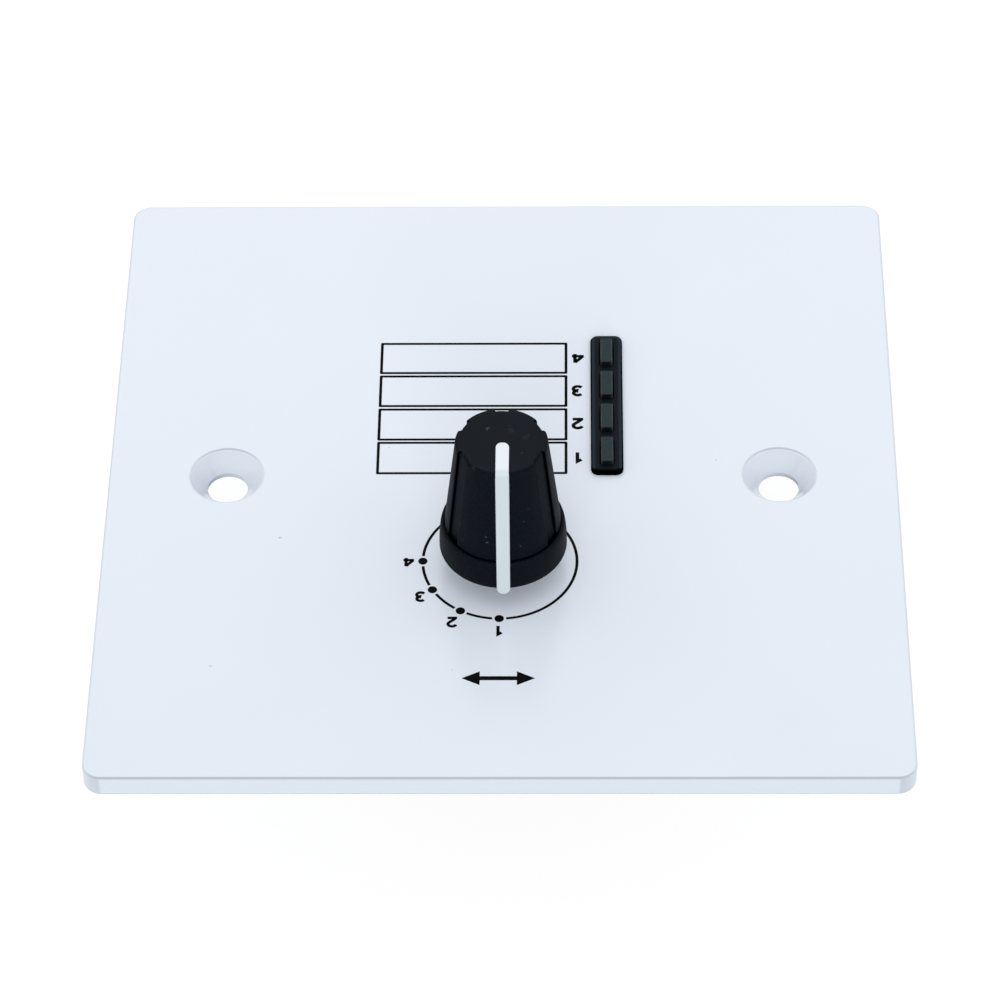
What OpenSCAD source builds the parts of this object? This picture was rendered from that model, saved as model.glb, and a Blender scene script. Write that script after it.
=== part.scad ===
// Wall-mounted audio zone selector: a single-gang plate with a four-position
// rotary switch, an indicator strip and a control board behind it.
// The plate's rear face lies at z = 0, its front faces +Z and its top edge +Y.

/* [Face plate] */
// Width of the plate
plate_w = 86; // [84:1:96]
// Height of the plate
plate_h = 86; // [84:1:96]
// Thickness of the plate
plate_t = 2.6; // [2.4:0.1:4]
// Radius of the plate's corners
plate_corner_r = 2; // [1:0.1:5]
// Radius of the plate's front edge
plate_edge_r = 0.35; // [0.1:0.05:0.8]
// Distance between the two wall screw holes
screw_spacing = 60.3; // [58:0.1:66]
// Diameter of each wall screw hole
screw_hole_d = 4.4; // [3.6:0.1:5]
// Diameter of each countersink at the front face
countersink_d = 8; // [6.5:0.1:8.2]
// Angle across each countersink
countersink_angle = 82; // [80:1:100]

/* [Knob] */
// Place of the knob's axis to the right of the plate's centre
dial_x = -0.2; // [-1:0.1:1]
// Height of the knob's axis above the plate's centre
dial_y = 12.7; // [11.5:0.1:14]
// Gap between the plate and the foot of the skirt
knob_gap = 3; // [2:0.1:5]
// Height of the knob
knob_h = 15.5; // [13:0.1:20]
// Diameter at the foot of the skirt
skirt_d = 13.6; // [13.2:0.1:16]
// Diameter of the skirt's shoulder
shoulder_d = 12.9; // [12.6:0.1:13.1]
// Height of the skirt
skirt_h = 3.5; // [2.5:0.1:5]
// Diameter at the foot of the grip
grip_d = 12.4; // [12:0.1:12.6]
// Diameter of the knob's top
knob_top_d = 9.7; // [9.4:0.1:11]
// Radius of the knob's top edge
knob_edge_r = 0.25; // [0.1:0.05:0.5]
// Number of flutes round the grip, the middle one opposite the pointer
flute_count = 5; // [2:1:5]
// Angle from one flute to the next
flute_pitch = 60; // [30:1:66]
// Width of each flute
flute_w = 1.9; // [1:0.1:2.2]
// Depth of each flute
flute_depth = 0.3; // [0.1:0.05:0.4]
// Width of the pointer
pointer_w = 1.4; // [1:0.1:2]
// How deep the pointer is let into the knob
pointer_depth = 0.9; // [0.6:0.05:1]
// Distance of the pointer's inner end from the knob's axis
pointer_start = 0.2; // [0:0.05:1]
// How far the pointer's foot stands out past the skirt
pointer_proud = 0.8; // [0.2:0.1:1.2]
// Radius of the hollow under the skirt
recess_r = 5; // [4.6:0.1:5.1]
// Depth of the hollow under the skirt
recess_h = 2; // [1:0.1:3]
// Outer radius of the hub inside the knob
core_r = 3.8; // [3.7:0.05:3.9]
// Thickness of the knob above its hub
knob_roof = 2.2; // [1.8:0.1:3]
// Turn between two positions
index_angle = 30; // [20:5:30]
// Number of positions
position_count = 4; // [2:1:4]

/* [Rotary switch] */
// Outer radius of the switch
switch_r = 11; // [10.6:0.1:12]
// Wall of the switch housing
switch_wall = 0.9; // [0.6:0.1:1.2]
// Thickness of the switch's front frame
frame_t = 1.4; // [1:0.1:1.8]
// Radius of the bush round the shaft
bush_r = 3.5; // [3.4:0.1:4.5]
// How far the bush stands out of the plate
bush_proud = 0.2; // [0:0.1:1]
// Radius of the shaft
shaft_r = 3; // [2.6:0.05:3.1]
// Depth of the flat on the shaft
shaft_flat = 1.5; // [1:0.1:1.8]
// Radial clearance of the shaft in its bush
shaft_fit = 0.04; // [0.02:0.01:0.1]
// Thickness of the stop washer
stop_t = 0.8; // [0.5:0.1:1]
// Thickness of the contact base
base_t = 1.6; // [1:0.1:2]
// Room for the contacts between the rotor and the base
contact_room = 2; // [1.5:0.1:2.5]
// Radius of the circle of fixed contacts
contact_ring_r = 7.5; // [6.8:0.1:8]
// Radius of the detent ball
ball_r = 1.15; // [0.9:0.05:1.3]

/* [Indicators] */
// Place of the strip to the right of the plate's centre
strip_x = -11.4; // [-13:0.1:-11]
// Place of the strip above the plate's centre
strip_y = -10.5; // [-12:0.1:-10]
// Width of the strip's frame
bezel_w = 3.55; // [3.3:0.05:5]
// Length of the strip's frame
bezel_len = 21.2; // [20.8:0.1:24]
// Height of the strip's frame above the plate
bezel_h = 0.6; // [0.4:0.1:1.5]
// Radius of the frame's corners
bezel_corner_r = 0.8; // [0.4:0.1:1.2]
// Radius of the frame's front edge
bezel_edge_r = 0.3; // [0.1:0.05:0.35]
// Width of the frame's neck in the plate
neck_w = 2.6; // [2.3:0.05:2.8]
// Length of the frame's neck in the plate
neck_len = 20; // [19.8:0.1:20.2]
// Number of indicators
lens_count = 4; // [1:1:4]
// Width of each lens
lens_w = 1.35; // [1:0.05:1.6]
// Length of each lens
lens_len = 3.65; // [2.5:0.05:4]
// Distance between two lenses
lens_pitch = 5.1; // [4.6:0.1:5.2]
// How far each lens stands out of its frame
lens_proud = 0.65; // [0.2:0.05:1.5]
// Height of the lamp under each lens
led_h = 0.9; // [0.5:0.1:1.5]

/* [Board] */
// Gap between the plate and the board
board_gap = 11.5; // [11:0.1:16]
// Width of the board
board_w = 48; // [46:0.5:52]
// Height of the board
board_h = 62; // [61:0.5:68]
// Thickness of the board
board_t = 1.6; // [1:0.1:2]
// Radius of the board's corners
board_corner_r = 2; // [1:0.1:3]
// Distance of the board's screws from its edges
screw_inset = 4; // [3.6:0.1:4.2]
// Width of each hexagonal standoff across its flats
standoff_af = 5.5; // [5:0.1:6.5]
// Diameter of the board's screws
board_screw_d = 2.4; // [2:0.1:2.8]
// Length of each screw below its head
board_screw_len = 7; // [5:0.5:9]
// Diameter of each screw head
head_d = 5.5; // [4.5:0.1:5.8]
// Height of each screw head
head_h = 2; // [1.5:0.1:3]
// Thickness of each washer
washer_t = 0.5; // [0.3:0.1:1]

/* [Jacks] */
// Width of each jack
jack_w = 15.6; // [15.2:0.1:17]
// Depth of each jack across the board
jack_d = 13.6; // [13.4:0.1:15]
// Height of each jack above the board
jack_h = 14; // [13.5:0.5:17]
// Distance between the two jacks
jack_pitch = 19; // [18:0.5:20]
// Place of the jacks above the board's centre
jack_y = -16.5; // [-18:0.5:-15]
// Width of each port
port_w = 11.9; // [11.8:0.1:12.4]
// Height of each port
port_d = 7; // [6.8:0.1:7.4]
// Depth of each port
port_depth = 11.5; // [11:0.1:12]

/* [Address switch] */
// Distance between two sliders
dip_pitch = 2.54; // [2:0.02:2.6]
// Depth of the address switch across the board
dip_d = 6.8; // [6.4:0.1:7.6]
// Height of the address switch
dip_h = 4.2; // [3.5:0.1:5]
// Travel of each slider
slider_travel = 1.2; // [0.8:0.1:1.6]
// Length of each slider
slider_len = 1.9; // [1.5:0.1:2.2]

/* [Hidden] */
$fn = 64;
// Overshoot that keeps a cut's end clear of the face it opens
cut = 0.5;
// Clearance of pieces that are pushed together
fit = 0.05;
// Clearance of pieces that move past each other
run_gap = 0.3;
// Clearance round what passes through a hole
hole_fit = 0.15;
// Clearance of contacts and stops that nearly touch
touch_gap = 0.1;

z_front = plate_t;
z_board = -board_gap;
z_rear = z_board - board_t;

// Knob
knob_z = z_front + knob_gap;
skirt_r = skirt_d / 2;
shoulder_r = shoulder_d / 2;
grip_r = grip_d / 2;
top_r = knob_top_d / 2;
grip_h = knob_h - skirt_h;
grip_tilt = atan((grip_r - top_r) / grip_h);
flute_r = (pow(flute_w / 2, 2) + pow(flute_depth, 2)) / (2 * flute_depth);
core_top = knob_h - knob_roof;
core_roof = 1;
bore_top = core_top - core_roof;
shoulder_steps = 10;
edge_steps = 4;

// Switch stack, from the plate to the board
inner_r = switch_r - switch_wall;
z_frame = -frame_t;
z_stop = z_frame - stop_t;
z_base = z_board + base_t;
z_rotor_top = z_stop - run_gap;
z_rotor_low = z_base + contact_room;
z_ball = (z_rotor_top + z_rotor_low) / 2;
shaft_end = knob_z + bore_top - run_gap;
flat_start = knob_z + recess_h;
detent_wall = 0.8;
detent_depth = 0.35;
detent_h = 2.4;
detent_r = inner_r - fit - detent_wall;
notch_r = 1;
detent_count = 360 / index_angle;
ball_gap = 0.08;
ball_x = detent_r - ball_gap - ball_r;
rotor_gap = 0.4;
rotor_r = detent_r - rotor_gap;
ball_bore_r = ball_r + fit;
rotor_hub = 0.9;
spring_start = shaft_r + rotor_hub;
spring_end = ball_x - ball_r;
spring_r = 0.8;
spring_wire_r = 0.13;
spring_turns = 4;
stop_pin_r = 0.8;
stop_pin_x = 7.4;
stop_pin_turn = 45;
stop_sweep = index_angle * (position_count - 1);
stop_rim = 1.4;
stop_tooth = 1.6;
ring_t = 0.6;
ring_r = 4.6;
ring_groove = 0.5;
ring_neck_r = shaft_r - ring_groove;
ring_mouth = 4;
ring_top = z_frame - hole_fit;
wiper_turn = 180;
wiper_t = 0.3;
wiper_w = 2;
wiper_end = 1;
button_r = 0.5;
common_r = 4.3;
pad_t = 0.25;
pad_r = 0.9;
pin_r = 0.4;
pin_hole_r = pin_r + touch_gap;
pin_tail = 1;
lug_r = 1.1;
lug_h = 1.2;
lug_x = 8;

// Indicators
neck_drop = 2.5;
hook_h = 1.2;
hook_out = 0.5;
hook_side = 0.3;
hook_w = neck_w - 2 * hook_side;
lamp_gap = 0.2;
pipe_low = z_board + led_h + lamp_gap;
led_w = 1.6;
led_len = 3;
lens_edge_r = 0.15;

// Board
standoff_x = board_w / 2 - screw_inset;
standoff_y = board_h / 2 - screw_inset;
tap_depth = 7.5;
board_hole_room = 0.8;
board_hole_d = board_screw_d + board_hole_room;
washer_hole_room = 0.6;
washer_hole_d = board_screw_d + washer_hole_room;
washer_r = 3.2;
recess_arm = 2.8;
recess_w = 0.7;
recess_deep = 1;

// Jacks
port_y = -0.9;
latch_w = 6.2;
latch_d = 1.5;
latch_depth = 9;
key_w = 3.2;
key_wall = 0.4;
key_d = jack_d / 2 + port_y - port_d / 2 - latch_d - key_wall;
wire_count = 8;
wire_pitch = 1.02;
wire_w = 0.4;
wire_t = 0.35;
wire_hole_r = 0.35;
wire_inset = 1.2;
wire_y = port_y + port_d / 2 + wire_inset;
wire_drop = 2.4;
wire_bend = 0.6;
wire_lean = [3, 5.6];
wire_tip = [0.4, 1.4];
bay_side = 0.3;
bay_w = wire_count * wire_pitch + 2 * bay_side;
bay_d = 2;
bay_lip = 1.2;
post_r = 1.5;
post_hole_r = post_r + touch_gap;
post_x = 5.7;
post_y = -3.4;
jack_places = [[-jack_pitch / 2, jack_y], [jack_pitch / 2, jack_y]];

// Address switch
dip_count = 4;
dip_side = 0.75;
dip_w = dip_count * dip_pitch + 2 * dip_side;
dip_inset = [13.3, 8.6];
dip_place = [-board_w / 2 + dip_inset.x, board_h / 2 - dip_inset.y];
slider_fit = 0.08;
slider_w = 1.3;
slider_deep = 2;
slider_proud = 0.6;
slider_step = 0.4;
dip_foot_h = 0.2;
dip_foot_inset = 0.6;
dip_lead_w = 0.6;
dip_lead_rise = 1.6;
dip_lead_reach = 1.2;
slider_room = slider_len + slider_travel + 2 * slider_fit;

// Parts on the board's rear
chip_place = [13, -0.6];
chip_size = [12.8, 7.5, 2.3];
chip_lift = 0.1;
chip_lead_count = 10;
chip_lead_pitch = 1.27;
chip_lead_w = 0.42;
chip_lead_rise = 1.3;
chip_lead_reach = 1.4;
regulator_place = [-15, -0.5];
regulator_size = [6.5, 3.5, 1.6];
regulator_lead_count = 3;
regulator_lead_pitch = 2.3;
regulator_lead_w = 0.7;
regulator_lead_rise = 1;
regulator_lead_reach = 1.7;
tab_size = [3, 1.7, 0.3];
lead_t = 0.25;
lead_root = 0.2;
can_places = [[-16.5, 9.5], [17.5, 11.5]];
can_r = 3.15;
can_h = 5.4;
can_foot = 6.6;
can_foot_h = 1;
header_count = 5;
header_pitch = 2.54;
header_len = header_count * header_pitch;
header_h = 2.5;
header_pin_w = 0.6;
header_pin_len = 7.5;
header_hole_r = 0.5;
header_gap = 0.52;
header_clear = 1.1;
header_place = [dip_place.x + dip_w / 2 + header_gap + header_len / 2, dial_y + switch_r + header_clear];
crystal_len = 10.5;
crystal_w = 4.4;
crystal_h = 3.5;
crystal_x = 12.5;
crystal_gap = 0.35;
crystal_place = [crystal_x, header_place.y - header_h / 2 - crystal_gap - crystal_w / 2];
chip_resistor_size = [2, 1.25, 0.55];
chip_capacitor_size = [2, 1.25, 0.9];
resistor_pitch = 3.2;
edge_row_inset = 2.4;
edge_row = [-8, -board_h / 2 + edge_row_inset];
dial_row = [4.6, 15.6];
resistor_places = [
    for (i = [0:5]) edge_row + [i * resistor_pitch, 0],
    for (i = [0:3]) dial_row + [i * resistor_pitch, 0]
];
capacitor_places = [[4, 3.6], [4, -4], [-7.6, 0.6], [-7.6, -3.4], [20.6, 4.6], [20.6, -5.6], [19.4, 17]];

// Shared shapes

// Flat rectangle with round corners
module round_rect(w, h, r) {
    square([w - 2 * r, h], center = true);
    square([w, h - 2 * r], center = true);
    for (sx = [-1, 1], sy = [-1, 1])
        translate([sx * (w / 2 - r), sy * (h / 2 - r)])
            circle(r);
}

// Section through the rim of a slab, with its upper outer corner rounded
module rim_section(t, r, e) {
    square([r, t - e]);
    square([r - e, t]);
    translate([r - e, t - e])
        circle(e);
}

// Slab on z = 0 with round corners and a rounded upper edge
module soft_slab(w, h, t, r, e) {
    core_w = w - 2 * r;
    core_h = h - 2 * r;
    translate([-core_w / 2, -core_h / 2, 0])
        cube([core_w, core_h, t]);
    for (side = [0:3]) {
        run = side % 2 == 0 ? core_w : core_h;
        out = side % 2 == 0 ? core_h / 2 : core_w / 2;
        rotate([0, 0, 90 * side])
            translate([-run / 2, out, 0])
                rotate([90, 0, 90])
                    linear_extrude(run)
                        rim_section(t, r, e);
        rotate([0, 0, 90 * side])
            translate([run / 2, out, 0])
                rotate_extrude(angle = 90)
                    rim_section(t, r, e);
    }
}

// Upright rectangle with its two upper corners rounded
module arch_section(w, h, e) {
    translate([-w / 2, 0])
        square([w, h - e]);
    translate([-w / 2 + e, 0])
        square([w - 2 * e, h]);
    for (sx = [-1, 1])
        translate([sx * (w / 2 - e), h - e])
            circle(e);
}

// Round section with one flat, which faces +Y
module d_section(r, flat_y) {
    intersection() {
        circle(r);
        translate([-r, -r])
            square([2 * r, r + flat_y]);
    }
}

// Bent flat wire along a list of points
module wire_path(points, t) {
    for (i = [0:len(points) - 2]) {
        step = points[i + 1] - points[i];
        translate(points[i])
            rotate(atan2(step.y, step.x))
                translate([0, -t / 2])
                    square([norm(step), t]);
    }
    for (i = [1:len(points) - 2])
        translate(points[i])
            circle(t / 2);
}

// Places on the knob's axis and on the board's two sides
module on_dial() {
    translate([dial_x, dial_y, 0])
        children();
}

module on_knob() {
    translate([dial_x, dial_y, knob_z])
        children();
}

module on_rear(place) {
    translate([place.x, place.y, z_rear])
        rotate([180, 0, 0])
            children();
}

module at_standoffs() {
    for (sx = [-1, 1], sy = [-1, 1])
        translate([sx * standoff_x, sy * standoff_y, 0])
            children();
}

module at_lens(i) {
    translate([strip_x, strip_y + (i - (lens_count - 1) / 2) * lens_pitch, 0])
        children();
}

module at_contacts() {
    for (i = [0:position_count - 1])
        rotate([0, 0, wiper_turn - i * index_angle])
            translate([contact_ring_r, 0, 0])
                children();
}

// Rows of bent leads down one or both long sides of a flat package
module gull_leads(count, pitch, lead_w, half_w, rise, reach, sides = [0, 180]) {
    for (side = sides, i = [0:count - 1])
        rotate([0, 0, side])
            translate([(i - (count - 1) / 2) * pitch - lead_w / 2, 0, 0])
                rotate([90, 0, 90])
                    linear_extrude(lead_w)
                        polygon([
                            [half_w - lead_root, rise], [half_w - lead_root, rise - lead_t],
                            [half_w + reach / 2 - lead_t, rise - lead_t], [half_w + reach / 2 - lead_t, 0],
                            [half_w + reach, 0], [half_w + reach, lead_t],
                            [half_w + reach / 2, lead_t], [half_w + reach / 2, rise]
                        ]);
}

// Plate and what carries the board

module face_plate() {
    countersink_h = (countersink_d - screw_hole_d) / 2 / tan(countersink_angle / 2);
    sink_slope = tan(countersink_angle / 2);
    color("whitesmoke")
        difference() {
            soft_slab(plate_w, plate_h, plate_t, plate_corner_r, plate_edge_r);
            for (sx = [-1, 1])
                translate([sx * screw_spacing / 2, 0, 0]) {
                    translate([0, 0, -cut])
                        cylinder(d = screw_hole_d, h = plate_t + 2 * cut);
                    translate([0, 0, z_front - countersink_h])
                        cylinder(r1 = screw_hole_d / 2, r2 = countersink_d / 2 + cut * sink_slope,
                            h = countersink_h + cut);
                }
            on_dial()
                translate([0, 0, -cut])
                    cylinder(r = bush_r + hole_fit, h = plate_t + 2 * cut);
            on_dial()
                translate([-lug_x, 0, -cut])
                    cylinder(r = lug_r + hole_fit, h = lug_h + hole_fit + cut);
            translate([strip_x - neck_w / 2 - fit, strip_y - neck_len / 2 - fit, -cut])
                cube([neck_w + 2 * fit, neck_len + 2 * fit, plate_t + 2 * cut]);
        }
}

module standoffs() {
    color("silver")
        at_standoffs()
            translate([0, 0, z_board])
                difference() {
                    cylinder(d = standoff_af / cos(30), h = board_gap, $fn = 6);
                    translate([0, 0, -cut])
                        cylinder(d = board_screw_d + 2 * fit, h = tap_depth + cut);
                }
}

module circuit_board() {
    color("darkgreen")
        difference() {
            translate([0, 0, z_rear])
                linear_extrude(board_t)
                    round_rect(board_w, board_h, board_corner_r);
            translate([0, 0, z_rear - cut]) {
                at_standoffs()
                    cylinder(d = board_hole_d, h = board_t + 2 * cut);
                on_dial() {
                    at_contacts()
                        cylinder(r = pin_hole_r, h = board_t + 2 * cut);
                    translate([common_r, 0, 0])
                        cylinder(r = pin_hole_r, h = board_t + 2 * cut);
                }
                for (place = jack_places)
                    translate([place.x, place.y, 0]) {
                        for (i = [0:wire_count - 1])
                            translate([(i - (wire_count - 1) / 2) * wire_pitch, -wire_y, 0])
                                cylinder(r = wire_hole_r, h = board_t + 2 * cut);
                        for (sx = [-1, 1])
                            translate([sx * post_x, -post_y, 0])
                                cylinder(r = post_hole_r, h = board_t + 2 * cut);
                    }
                translate([header_place.x, header_place.y, 0])
                    for (i = [0:header_count - 1])
                        translate([(i - (header_count - 1) / 2) * header_pitch, 0, 0])
                            cylinder(r = header_hole_r, h = board_t + 2 * cut);
            }
        }
}

module board_screws() {
    color("gainsboro")
        at_standoffs()
            translate([0, 0, z_rear - washer_t])
                difference() {
                    union() {
                        cylinder(d = board_screw_d, h = board_screw_len);
                        translate([0, 0, -head_h])
                            cylinder(d = head_d, h = head_h);
                    }
                    for (turn = [0, 90])
                        rotate([0, 0, turn])
                            translate([-recess_arm / 2, -recess_w / 2, -head_h - cut])
                                cube([recess_arm, recess_w, recess_deep + cut]);
                }
}

module screw_washers() {
    color("lightsteelblue")
        at_standoffs()
            translate([0, 0, z_rear - washer_t])
                difference() {
                    cylinder(r = washer_r, h = washer_t);
                    translate([0, 0, -cut])
                        cylinder(d = washer_hole_d, h = washer_t + 2 * cut);
                }
}

// Knob

// The pointer's own shape, grown by a clearance for its slot
module pointer_shape(grow) {
    half_w = pointer_w / 2 + grow;
    foot_y = skirt_r + pointer_proud;
    deep = pointer_depth + grow;
    start = pointer_start - grow;
    over = grow > 0 ? cut : 0;
    intersection() {
        // Seen from the side
        translate([-half_w, 0, 0])
            rotate([90, 0, 90])
                linear_extrude(2 * half_w)
                    polygon([
                        [start, knob_h + over], [top_r + over, knob_h + over], [foot_y + over, -over],
                        [grip_r - deep, -over], [grip_r - deep, skirt_h],
                        [top_r - deep, knob_h - deep], [start, knob_h - deep]
                    ]);
        // Seen from above, with a round inner end
        translate([0, 0, -cut])
            linear_extrude(knob_h + 2 * cut) {
                translate([0, pointer_start + pointer_w / 2])
                    circle(half_w);
                translate([-half_w, pointer_start + pointer_w / 2])
                    square([2 * half_w, foot_y + cut]);
            }
        // Seen from the front, with a round foot
        translate([0, foot_y + 2 * cut, 0])
            rotate([90, 0, 0])
                linear_extrude(foot_y + 3 * cut) {
                    translate([0, pointer_w / 2 - over])
                        circle(half_w);
                    translate([-half_w, pointer_w / 2 - over])
                        square([2 * half_w, knob_h + cut]);
                }
    }
}

module knob_body() {
    shoulder = [for (i = [0:shoulder_steps])
        let (a = 90 * i / shoulder_steps)
        [shoulder_r + (skirt_r - shoulder_r) * cos(a), skirt_h * sin(a)]];
    rim = [for (i = [0:edge_steps])
        let (a = 90 * i / edge_steps)
        [top_r - knob_edge_r * (1 - cos(a)), knob_h - knob_edge_r * (1 - sin(a))]];
    color("#1b1e22")
        on_knob()
            difference() {
                rotate_extrude()
                    polygon(concat([[0, 0]], shoulder, [[grip_r, skirt_h]], rim, [[0, knob_h]]));
                for (i = [0:flute_count - 1])
                    rotate([0, 0, 180 + (i - (flute_count - 1) / 2) * flute_pitch])
                        translate([0, grip_r, skirt_h])
                            rotate([grip_tilt, 0, 0])
                                translate([0, flute_r - flute_depth, 0])
                                    cylinder(r = flute_r, h = grip_h + 2 * cut);
                pointer_shape(fit / 2);
                translate([0, 0, -cut])
                    cylinder(r = recess_r, h = recess_h + cut);
                translate([0, 0, -cut])
                    cylinder(r = core_r + fit / 2, h = core_top + cut);
            }
}

module knob_core() {
    color("dimgray")
        on_knob()
            difference() {
                translate([0, 0, recess_h])
                    cylinder(r = core_r, h = core_top - recess_h);
                translate([0, 0, recess_h - cut])
                    linear_extrude(bore_top - recess_h + cut)
                        d_section(shaft_r + fit / 2, shaft_r - shaft_flat + fit / 2);
            }
}

module knob_pointer() {
    color("white")
        on_knob()
            pointer_shape(0);
}

// Rotary switch

module switch_frame() {
    color("silver")
        on_dial()
            difference() {
                union() {
                    translate([0, 0, z_frame])
                        cylinder(r = switch_r, h = frame_t);
                    cylinder(r = bush_r, h = plate_t + bush_proud);
                    translate([-lug_x, 0, 0])
                        cylinder(r = lug_r, h = lug_h);
                }
                translate([0, 0, z_frame - cut])
                    cylinder(r = shaft_r + shaft_fit, h = frame_t + plate_t + bush_proud + 2 * cut);
            }
}

module switch_housing() {
    housing_h = z_frame - z_board;
    color("#2b2f36")
        on_dial()
            translate([0, 0, z_board])
                difference() {
                    cylinder(r = switch_r, h = housing_h);
                    translate([0, 0, -cut])
                        cylinder(r = inner_r, h = housing_h + 2 * cut);
                }
}

// Ring with two teeth that end the rotor's sweep
module stop_washer() {
    tooth_y = stop_pin_r + touch_gap + stop_tooth / 2;
    color("slategray")
        on_dial()
            translate([0, 0, z_stop]) {
                difference() {
                    cylinder(r = inner_r - fit, h = stop_t);
                    translate([0, 0, -cut])
                        cylinder(r = inner_r - stop_rim, h = stop_t + 2 * cut);
                }
                for (end = [[stop_pin_turn, 1], [stop_pin_turn - stop_sweep, -1]])
                    rotate([0, 0, end[0]])
                        translate([stop_pin_x - stop_pin_r, end[1] * tooth_y - stop_tooth / 2, 0])
                            cube([inner_r - stop_rim - stop_pin_x + stop_pin_r, stop_tooth, stop_t]);
            }
}

module detent_ring() {
    color("lightslategray")
        on_dial()
            translate([0, 0, z_ball - detent_h / 2])
                difference() {
                    cylinder(r = inner_r - fit, h = detent_h);
                    translate([0, 0, -cut])
                        cylinder(r = detent_r, h = detent_h + 2 * cut);
                    for (i = [0:detent_count - 1])
                        rotate([0, 0, i * index_angle])
                            translate([detent_r + detent_depth - notch_r, 0, -cut])
                                cylinder(r = notch_r, h = detent_h + 2 * cut, $fn = 32);
                }
}

module contact_base() {
    color("saddlebrown")
        on_dial()
            difference() {
                translate([0, 0, z_board])
                    cylinder(r = inner_r - fit, h = base_t);
                translate([0, 0, z_board - cut]) {
                    at_contacts()
                        cylinder(r = pin_r + fit, h = base_t + 2 * cut);
                    translate([common_r, 0, 0])
                        cylinder(r = pin_r + fit, h = base_t + 2 * cut);
                }
            }
}

module switch_contacts() {
    pin_len = z_base - z_rear + pin_tail;
    color("goldenrod")
        on_dial() {
            at_contacts() {
                translate([0, 0, z_base])
                    cylinder(r = pad_r, h = pad_t);
                translate([0, 0, z_base - pin_len])
                    cylinder(r = pin_r, h = pin_len);
            }
            difference() {
                translate([0, 0, z_base])
                    cylinder(r = common_r + pad_r, h = pad_t);
                translate([0, 0, z_base - cut])
                    cylinder(r = common_r - pad_r, h = pad_t + 2 * cut);
            }
            translate([common_r, 0, z_base - pin_len])
                cylinder(r = pin_r, h = pin_len);
        }
}

module switch_shaft() {
    color("gainsboro")
        on_dial()
            difference() {
                union() {
                    translate([0, 0, z_rotor_low])
                        linear_extrude(shaft_end - z_rotor_low)
                            d_section(shaft_r, shaft_r - shaft_flat);
                    translate([0, 0, z_rotor_top])
                        cylinder(r = shaft_r, h = flat_start - z_rotor_top);
                }
                translate([0, 0, ring_top - ring_t - fit])
                    difference() {
                        cylinder(r = shaft_r + cut, h = ring_t + 2 * fit);
                        translate([0, 0, -cut])
                            cylinder(r = ring_neck_r, h = ring_t + 2 * fit + 2 * cut);
                    }
            }
}

module retaining_ring() {
    color("steelblue")
        on_dial()
            translate([0, 0, ring_top - ring_t])
                difference() {
                    cylinder(r = ring_r, h = ring_t);
                    translate([0, 0, -cut])
                        cylinder(r = ring_neck_r + fit, h = ring_t + 2 * cut);
                    translate([-ring_mouth / 2, 0, -cut])
                        cube([ring_mouth, ring_r + cut, ring_t + 2 * cut]);
                }
}

module switch_rotor() {
    rotor_h = z_rotor_top - z_rotor_low;
    color("ivory")
        on_dial()
            difference() {
                union() {
                    translate([0, 0, z_rotor_low])
                        cylinder(r = rotor_r, h = rotor_h);
                    rotate([0, 0, stop_pin_turn])
                        translate([stop_pin_x, 0, z_rotor_top])
                            cylinder(r = stop_pin_r, h = stop_t + run_gap / 2);
                }
                translate([0, 0, z_rotor_low - cut])
                    linear_extrude(rotor_h + 2 * cut)
                        d_section(shaft_r + fit / 2, shaft_r - shaft_flat + fit / 2);
                translate([spring_start, 0, z_ball])
                    rotate([0, 90, 0])
                        cylinder(r = ball_bore_r, h = rotor_r - spring_start + cut);
            }
}

module detent_ball() {
    color("silver")
        on_dial()
            translate([ball_x, 0, z_ball])
                sphere(r = ball_r);
}

// Coil spring behind the ball, as one tube swept along its helix
module detent_spring() {
    sides = 6;
    steps = 10 * spring_turns;
    run = spring_end - spring_start - 2 * spring_wire_r - 2 * fit;
    lead = atan(run / (2 * PI * spring_r * spring_turns));
    rings = [for (i = [0:steps])
        let (a = 360 * spring_turns * i / steps, x = spring_start + spring_wire_r + fit + run * i / steps)
        [for (j = [0:sides - 1])
            let (b = 360 * j / sides, out = spring_r + spring_wire_r * cos(b), side = spring_wire_r * sin(b))
            [x + side * cos(lead), out * cos(a) + side * sin(lead) * sin(a),
                out * sin(a) - side * sin(lead) * cos(a)]]];
    points = [for (ring = rings) for (p = ring) p];
    walls = [for (i = [0:steps - 1]) for (j = [0:sides - 1])
        let (a = i * sides + j, b = i * sides + (j + 1) % sides, c = a + sides, d = b + sides)
        each [[a, b, d], [a, d, c]]];
    first_cap = [for (j = [1:sides - 2]) [0, j + 1, j]];
    last = steps * sides;
    last_cap = [for (j = [1:sides - 2]) [last, last + j, last + j + 1]];
    color("lightgray")
        on_dial()
            translate([0, 0, z_ball])
                polyhedron(points, concat(walls, first_cap, last_cap));
}

module wiper_contact() {
    button_h = z_rotor_low - wiper_t - z_base - pad_t - touch_gap;
    color("gold")
        on_dial()
            rotate([0, 0, wiper_turn])
                translate([0, 0, z_rotor_low - wiper_t]) {
                    translate([common_r - wiper_end, -wiper_w / 2, 0])
                        cube([contact_ring_r - common_r + 2 * wiper_end, wiper_w, wiper_t]);
                    for (x = [common_r, contact_ring_r])
                        translate([x, 0, -button_h])
                            cylinder(r = button_r, h = button_h);
                }
}

// Indicator strip

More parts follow.
